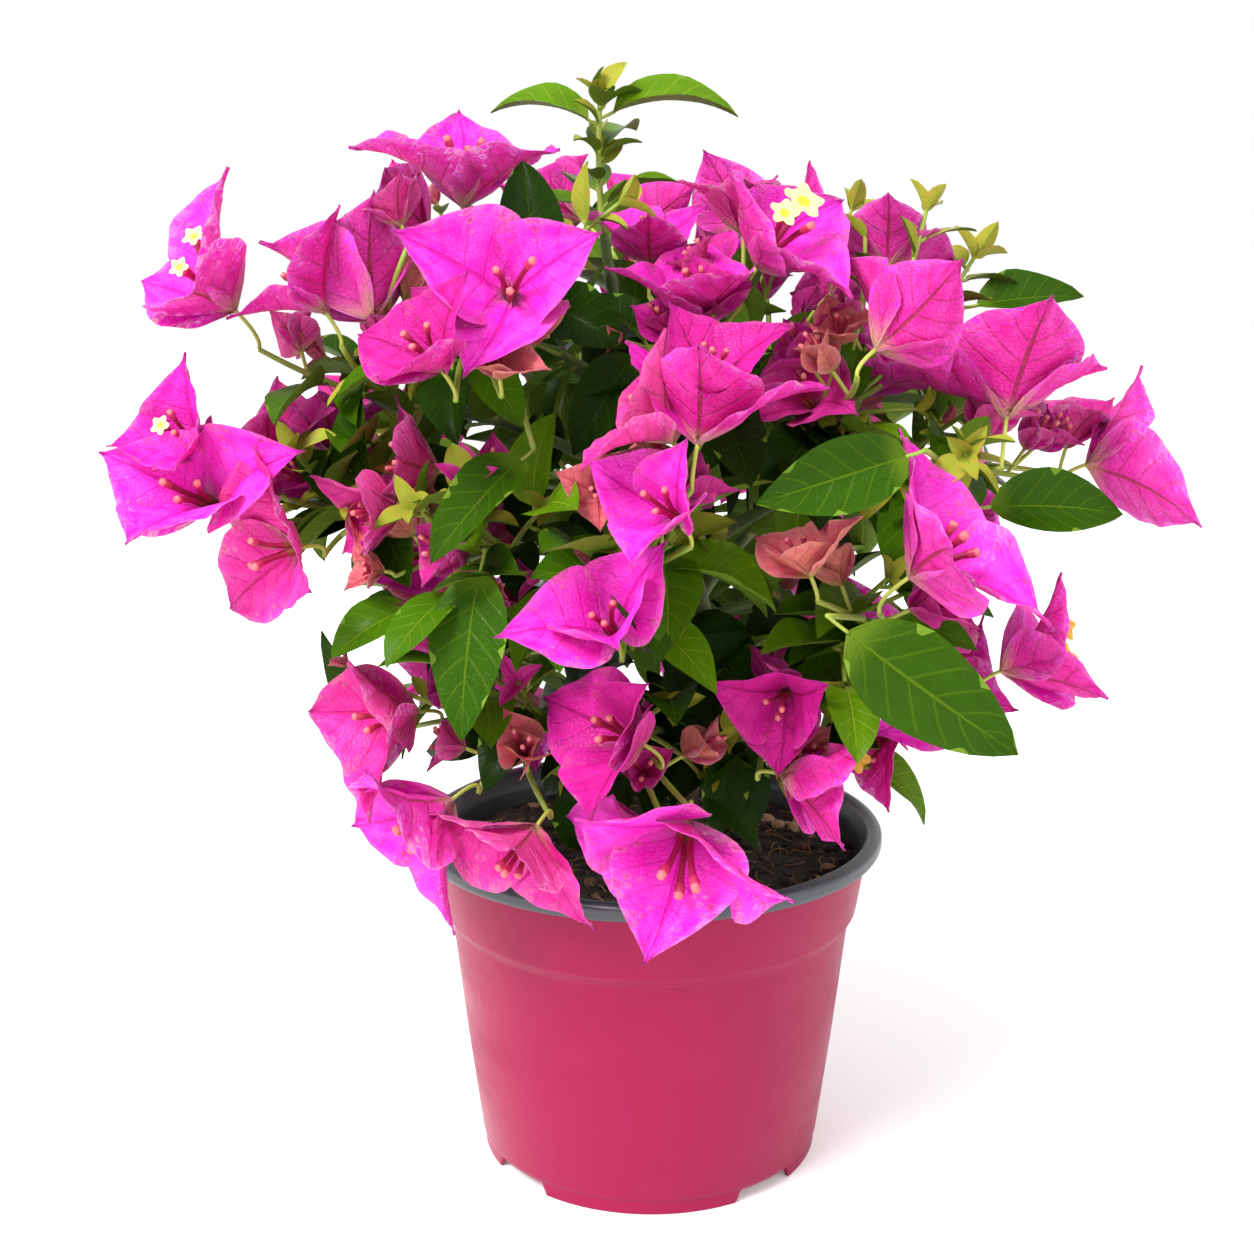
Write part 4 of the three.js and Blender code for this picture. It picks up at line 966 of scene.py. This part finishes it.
# a leaf takes the tint of the first row that holds for it. Inner leaves and leaves near the stem mostly take
# the dark tint, which is painted shade
tints = [
    (is_top & (leaf_long < TOP_YOUNG_LONG), FRESH), (is_top, BRIGHT),
    (is_inner & (tone_roll < 0.8), SHADE_DARK), (is_inner | is_large, DEEP),
    ((leaf_kind == SMALL_LEAF) & (leaf_long < YOUNG_LONG), FRESH), (shaded_inside & (tone_roll < 0.75), SHADE_DARK),
    (tone_roll < 0.3, DEEP), (tone_roll < 0.75, GREEN), (tone_roll < 0.93, BRIGHT),
]
leaf_tint = np.select([test for test, _ in tints], [tint for _, tint in tints], SHADE_DARK)
on_face = np.arange(leaf_points.shape[2]) < LEAF_COLUMNS - 1
front_leaf = leaf_root[:, 1] < FRONT_TO
for name, chosen, nodes in [("leaves_front", front_leaf, ["mass_top"]),
                            ("leaves_back", ~front_leaf, mass_nodes(True))]:
    shade = np.where(on_face, leaf_tint[chosen][:, None, None], len(leaf_paints))
    piece(name, [(leaf_points[chosen], shade, leaf_uv)], leaf_paints + [leaf_back], nodes, CRISP)
stalks = np.stack([leaf_root - leaf_way * STALK_BACK, (leaf_root + leaf_start) / 2 - UP * STALK_SAG,
                   leaf_start + leaf_way * STALK_ON], 1)
piece("leaf_stalks", [(tapered(tubes(stalks, 6, 6, STALK_R)), 0)], [fresh_green], [])

# Bracts
# The magenta papery leaves round each flower, three to a bloom, broad with a long point, swollen
# between their veins and cupped forward. They are thin closed blades, rosier underneath with an olive
# midrib. The loop also notes where each flower tube stands.
BRACT_WIDE, BRACT_OPEN, YOUNG_OPEN, OPEN_SPREAD = 0.84, 38, 20, 10
BRACT_BOW, BRACT_THICK, BRACT_SWELLS = (0.92, 1.55), 0.3, (4.5, 0.013)
FRONT_SHARE = 0.66  # of the grown bracts, in the first piece
ROSE, SALMON = 3, 4  # rows of BRACT_TINTS
# how likely each of those rows is
BLOOM_CHANCES, YOUNG_CHANCES = [0.42, 0.3, 0.18, 0.1, 0], [0, 0, 0.35, 0.4, 0.25]
# the tint of a bloom that isn't left to chance: mass, then its spray and row
SET_TINTS = {
    "high_left": {0: 1, 3: 3}, "high_middle": {1: 1, 3: 4}, "high_front": {1: 0, 2: 1, 3: 3},
    "high_right": {1: 0, 3: 4}, "right": {0: 0, 2: 3}, "right_low": {0: 1, 3: 4}, "skirt_right": {2: 3},
    "skirt_front": {1: 1}, "front": {0: 1, 1: 1, 3: 3, 5: 4}, "skirt_left": {0: 3, 1: 1, 2: 3},
    "left": {0: 1, 4: 3}, "left_front": {0: 3, 1: 3, 3: 4, 4: 4},
}
# name, face, vein, edge (also the tone of the lighter patches, partly painted highlight), foot; then the
# underside's four
BRACT_TINTS = [
    ("bract magenta", (218, 20, 166), (170, 8, 104), (240, 62, 196), (216, 112, 164),
     (206, 28, 138), (142, 40, 62), (228, 66, 168), (194, 158, 112)),
    ("bract vivid", (230, 32, 184), (184, 12, 128), (248, 82, 212), (224, 128, 178),
     (216, 42, 154), (152, 48, 72), (236, 84, 182), (198, 162, 116)),
    ("bract deep", (192, 14, 130), (140, 6, 84), (214, 40, 156), (188, 90, 130),
     (192, 34, 126), (132, 38, 58), (212, 62, 146), (172, 138, 92)),
    ("bract rose", (216, 34, 142), (168, 18, 92), (236, 72, 168), (212, 128, 140),
     (212, 58, 138), (154, 60, 72), (232, 88, 158), (196, 170, 108)),
    ("bract salmon", (208, 86, 102), (170, 52, 64), (224, 128, 118), (188, 168, 96),
     (206, 108, 102), (160, 98, 62), (220, 138, 112), (174, 168, 88)),
]
papery = {"Roughness": 0.55, "Specular_IOR_Level": 0.2, "Subsurface_Weight": 0.25, "Subsurface_Scale": 0.002,
          "Subsurface_Radius": (1.0, 0.3, 0.75)}
bract_paints = []
for name, *tones in BRACT_TINTS:
    linear = [srgb(*tone) for tone in tones]
    bract_paints += [vein_paint(name, *linear[:4], 6, 0.6, 0.0004, **papery),
                     vein_paint(name + " underside", *linear[4:], 6, 0.9, 0.0005, **papery)]
bract_random = np.random.default_rng(9)
bract_rows, tube_rows, tube_tips = [], [], []
for centre, look, size, roll, key in blooms + young:
    name, number, place = key
    is_young = place == "young"
    tint = int(bract_random.choice(5, p=YOUNG_CHANCES if is_young else BLOOM_CHANCES))
    if place == 0:
        tint = SET_TINTS.get(name, {}).get(number, tint)
    for k in range(3):
        outward = spoke(look, roll + 120 * k + bract_random.normal(0, 5))
        open_by = (YOUNG_OPEN if is_young else BRACT_OPEN) + bract_random.normal(0, OPEN_SPREAD)
        ahead = between(look, outward, open_by)
        inner = between(look, outward, open_by - 90)
        length = size * bract_random.uniform(0.98, 1.16)
        bract_rows.append((centre - look * 0.5, ahead, inner, length, tint))
        start = centre + ahead * 0.05 * size
        way = between(look, outward, bract_random.uniform(6, 20))
        tube_tip = start + way * (bract_random.uniform(0.42, 0.58) + 0.3 * is_young) * size
        tube_rows.append(np.stack([start, start + look * 0.25 * size, tube_tip]))
        tube_tips.append((tube_tip, way, size, key, k))
bract_root, bract_way, bract_face, bract_long, bract_tint = columns_of(bract_rows)
count = len(bract_rows)
bract_wide = BRACT_WIDE * bract_random.uniform(0.98, 1.14, count)
# fold, cup, droop, sway, wave and phase
bract_forms = [bract_random.uniform(0.05, 0.3, count), bract_random.uniform(0.1, 0.4, count),
               bract_random.uniform(0.2, 0.9, count), bract_random.normal(0, 0.1, count),
               bract_random.uniform(0.02, 0.05, count), bract_random.uniform(0, TURN, count)]
grown, order = 3 * len(blooms), np.arange(count)
# name, first, last, steps along and columns across a bract, nodes
BRACT_GROUPS = [("bracts_front", 0, FRONT_SHARE * grown, 20, 12, mass_nodes(False)),
                ("bracts_back", FRONT_SHARE * grown, grown, 20, 12, []),
                ("bracts_young", grown, count, 12, 7, [])]
for name, first, last, steps, columns, nodes in BRACT_GROUPS:
    chosen = (order >= first) & (order < last)
    points, uv = blades(bract_root[chosen], bract_way[chosen], bract_face[chosen], bract_long[chosen],
                        bract_wide[chosen], BRACT_BOW, *(form[chosen] for form in bract_forms),
                        BRACT_THICK, steps, columns, BRACT_SWELLS)
    shade = 2 * bract_tint[chosen][:, None, None] + np.where(np.arange(points.shape[2]) < columns - 1, 0, 1)
    piece(name, [(points, shade, uv)], bract_paints, nodes, CRISP)

# Flower tubes
# One slim tube stands on each bract's midrib: olive brown at its foot, then crimson and waisted, and
# pleated to a small coral star where the flower is still shut.
TUBE_STEPS, TUBE_SIDES, TUBE_R, TUBE_LEAST, USUAL_BLOOM = 18, 10, 0.68, 22, 30
FOOT_BULGE, FOOT_AT, FOOT_LONG = 0.3, 0.2, 0.16
KNOB, KNOB_AT, KNOB_LONG, PLEATS, PLEAT_DEEP = 0.36, 0.9, 0.09, 5, 0.3
TUBE_TONES = [("tube foot", (120, 76, 40), 0.5), ("tube crimson", (140, 26, 60), 0.45),
              ("tube knob", (170, 44, 78), 0.5), ("tube star", (200, 104, 108), 0.6)]
TONE_STARTS = (5, 14, 16)  # the rings after which the tube takes its next tone

tube_t = shares(TUBE_STEPS)
pleats = 1 + PLEAT_DEEP * np.cos(PLEATS * np.arange(TUBE_SIDES) * TURN / TUBE_SIDES)
knob = KNOB * bell(tube_t, KNOB_AT, KNOB_LONG) * pleats
foot_bulge = FOOT_BULGE * bell(tube_t, FOOT_AT, FOOT_LONG)
tube_size = np.maximum([tip[2] for tip in tube_tips], TUBE_LEAST)[:, None, None] / USUAL_BLOOM
tube_ring = sum((np.arange(TUBE_STEPS + 1) > ring).astype(int) for ring in TONE_STARTS)
tube_radius = tube_size * (TUBE_R + foot_bulge + knob)
tube_points = tapered(tubes(np.stack(tube_rows), TUBE_STEPS, TUBE_SIDES, tube_radius))
piece("flower_tubes", [(tube_points, tube_ring[None, :, None])],
      [plain(*row) for row in TUBE_TONES], [])

# Open flowers
# A few tubes have opened into small cream flowers with five ruffled lobes and a yellow-green eye.
# Each is a cupped disc on its tube's tip. Three on the right have wilted to yellow.
FLOWER_TURN = 1.2  # how far a flower turns from its tube to the front, where the light is
PETAL_RINGS, PETAL_SIDES, EYE_RINGS, LOBES, LOBE_DEEP = 9, 50, 3, 5, 0.2
CUP_DEEP, RUFFLE_DEEP, DISC_ON = 0.16, 0.05, 0.9
PETAL_TONES = [("flower cream", (212, 202, 140), 0.6), ("flower eye", (196, 176, 40), 0.6),
               ("flower wilted", (226, 178, 70), 0.65)]
# mass, spray, bloom and bract, then the flower's reach and whether it has wilted
OPEN_FLOWERS = {
    ("high_front", 2, 0, 0): (5.0, False), ("high_front", 2, 0, 1): (3.6, False),
    ("high_left", 0, 0, 0): (3.0, False), ("high_left", 0, 0, 2): (2.6, False),
    ("left", 1, 0, 1): (2.6, False), ("right", 1, 0, 1): (3.8, False),
    ("right_low", 1, 0, 0): (4.2, True), ("right_low", 1, 0, 1): (4.0, True),
    ("skirt_right", 2, 0, 0): (4.0, True),
}

petal_r = np.linspace(0, 1, PETAL_RINGS)[:, None]
petal_a = circle(PETAL_SIDES)[None]
lobe = petal_r * (1 + LOBE_DEEP * petal_r ** 2 * np.cos(LOBES * petal_a))
ruffle = RUFFLE_DEEP * petal_r ** 3 * np.cos(2 * LOBES * petal_a + 0.7)
petal_lift = CUP_DEEP * petal_r ** 0.8 + ruffle
flower_parts = []
for tube_tip, way, size, key, k in tube_tips:
    if (*key, k) not in OPEN_FLOWERS:
        continue
    reach, wilted = OPEN_FLOWERS[(*key, k)]
    way = unit(way + FLOWER_TURN * np.array([0, -1, 0.3]))
    right = unit(np.cross(UP, way))
    upward = np.cross(way, right)
    spokes = np.cos(petal_a)[..., None] * right + np.sin(petal_a)[..., None] * upward
    disc = tube_tip + way * DISC_ON + reach * lobe[..., None] * spokes + reach * petal_lift[..., None] * way
    ring_tone = np.where(np.arange(PETAL_RINGS - 1) < EYE_RINGS, 1, 2 if wilted else 0)
    flower_parts.append((disc[None], ring_tone[None, :, None]))
piece("open_flowers", flower_parts, [plain(*row) for row in PETAL_TONES], [])

# Buds
# At the shoots' tips the next blooms are forming: three small bracts held close together, salmon,
# rose or a young green.
BUD_LEAST, BUD_MOST, BUD_WIDE, BUD_BOW, BUD_THICK = 7, 14, 0.5, (0.55, 0.9), 0.3
BUD_FORM = (0.4, 0.2, 0.4, 0, 0.01, 0.0)  # fold, cup, droop, sway, wave and phase
BUD_CHANCES = [0.25, 0.6, 0.15]  # salmon, green and rose

bud_random = np.random.default_rng(17)
bud_rows = []
for end, way in tips:
    size = bud_random.uniform(BUD_LEAST, BUD_MOST)
    for k in range(3):
        outward = spoke(way, 120 * k + bud_random.uniform(0, 60))
        bud_rows.append((end - way, between(way, outward, bud_random.uniform(18, 50)), way, size))
bud_root, bud_way, bud_axis, bud_long = columns_of(bud_rows)
bud_points, bud_uv = blades(bud_root, bud_way, unit(bud_axis + 1e-3), bud_long, BUD_WIDE, BUD_BOW,
                            *BUD_FORM, BUD_THICK, 8, 5, (1, 0))
bud_tint = np.repeat(bud_random.choice(3, len(tips), p=BUD_CHANCES), 3)
bud_paints = [bract_paints[2 * SALMON], leaf_paints[FRESH], bract_paints[2 * ROSE]]
piece("buds", [(bud_points, bud_tint[:, None, None], bud_uv)], bud_paints, [], CRISP)

# Floor, light and camera
# A plain pale floor, a large soft light from the upper left, a weak one from the right and a white
# surround. The camera stands in front and a little above, and looks slightly down.
floor_mesh = bpy.data.meshes.new("floor")
floor_mesh.from_pydata([(-4, -4, 0), (4, -4, 0), (4, 4, 0), (-4, 4, 0)], [], [(0, 1, 2, 3)])
floor = bpy.data.objects.new("floor", floor_mesh)
bpy.context.collection.objects.link(floor)
floor_mesh.materials.append(Paint("floor", Base_Color=(0.9, 0.9, 0.9, 1), Roughness=0.8,
                                  Emission_Color=(1, 1, 1, 1), Emission_Strength=0.16).material)

scene = bpy.context.scene
scene.world = bpy.data.worlds.new("studio")
scene.world.use_nodes = True
scene.world.node_tree.nodes["Background"].inputs["Color"].default_value = (1, 1, 1, 1)
scene.world.node_tree.nodes["Background"].inputs["Strength"].default_value = 1.0
scene.view_settings.view_transform = "Standard"
AIM = (0, 0, 0.2)  # what the lights point at
LIGHTS = [("key", (-1.1, -1.2, 1.9), 1.0, 84), ("fill", (1.5, -1.0, 1.0), 1.6, 8)]  # name, place, size, watts
for name, place, size, watts in LIGHTS:
    light = bpy.data.lights.new(name, "AREA")
    light.size, light.energy = size, watts
    lamp = bpy.data.objects.new(name, light)
    lamp.location = place
    x, y, z = np.array(place) - AIM
    lamp.rotation_euler = (math.atan2(math.hypot(x, y), z), 0, math.atan2(y, x) + math.pi / 2)
    bpy.context.collection.objects.link(lamp)

camera = bpy.data.cameras.new("camera")
camera.lens, camera.sensor_width = 50, 36
eye = bpy.data.objects.new("camera", camera)
eye.location, eye.rotation_euler = (-0.0076, -0.540, 0.2985), (math.radians(77.03), 0, 0)
bpy.context.collection.objects.link(eye)
scene.camera = eye
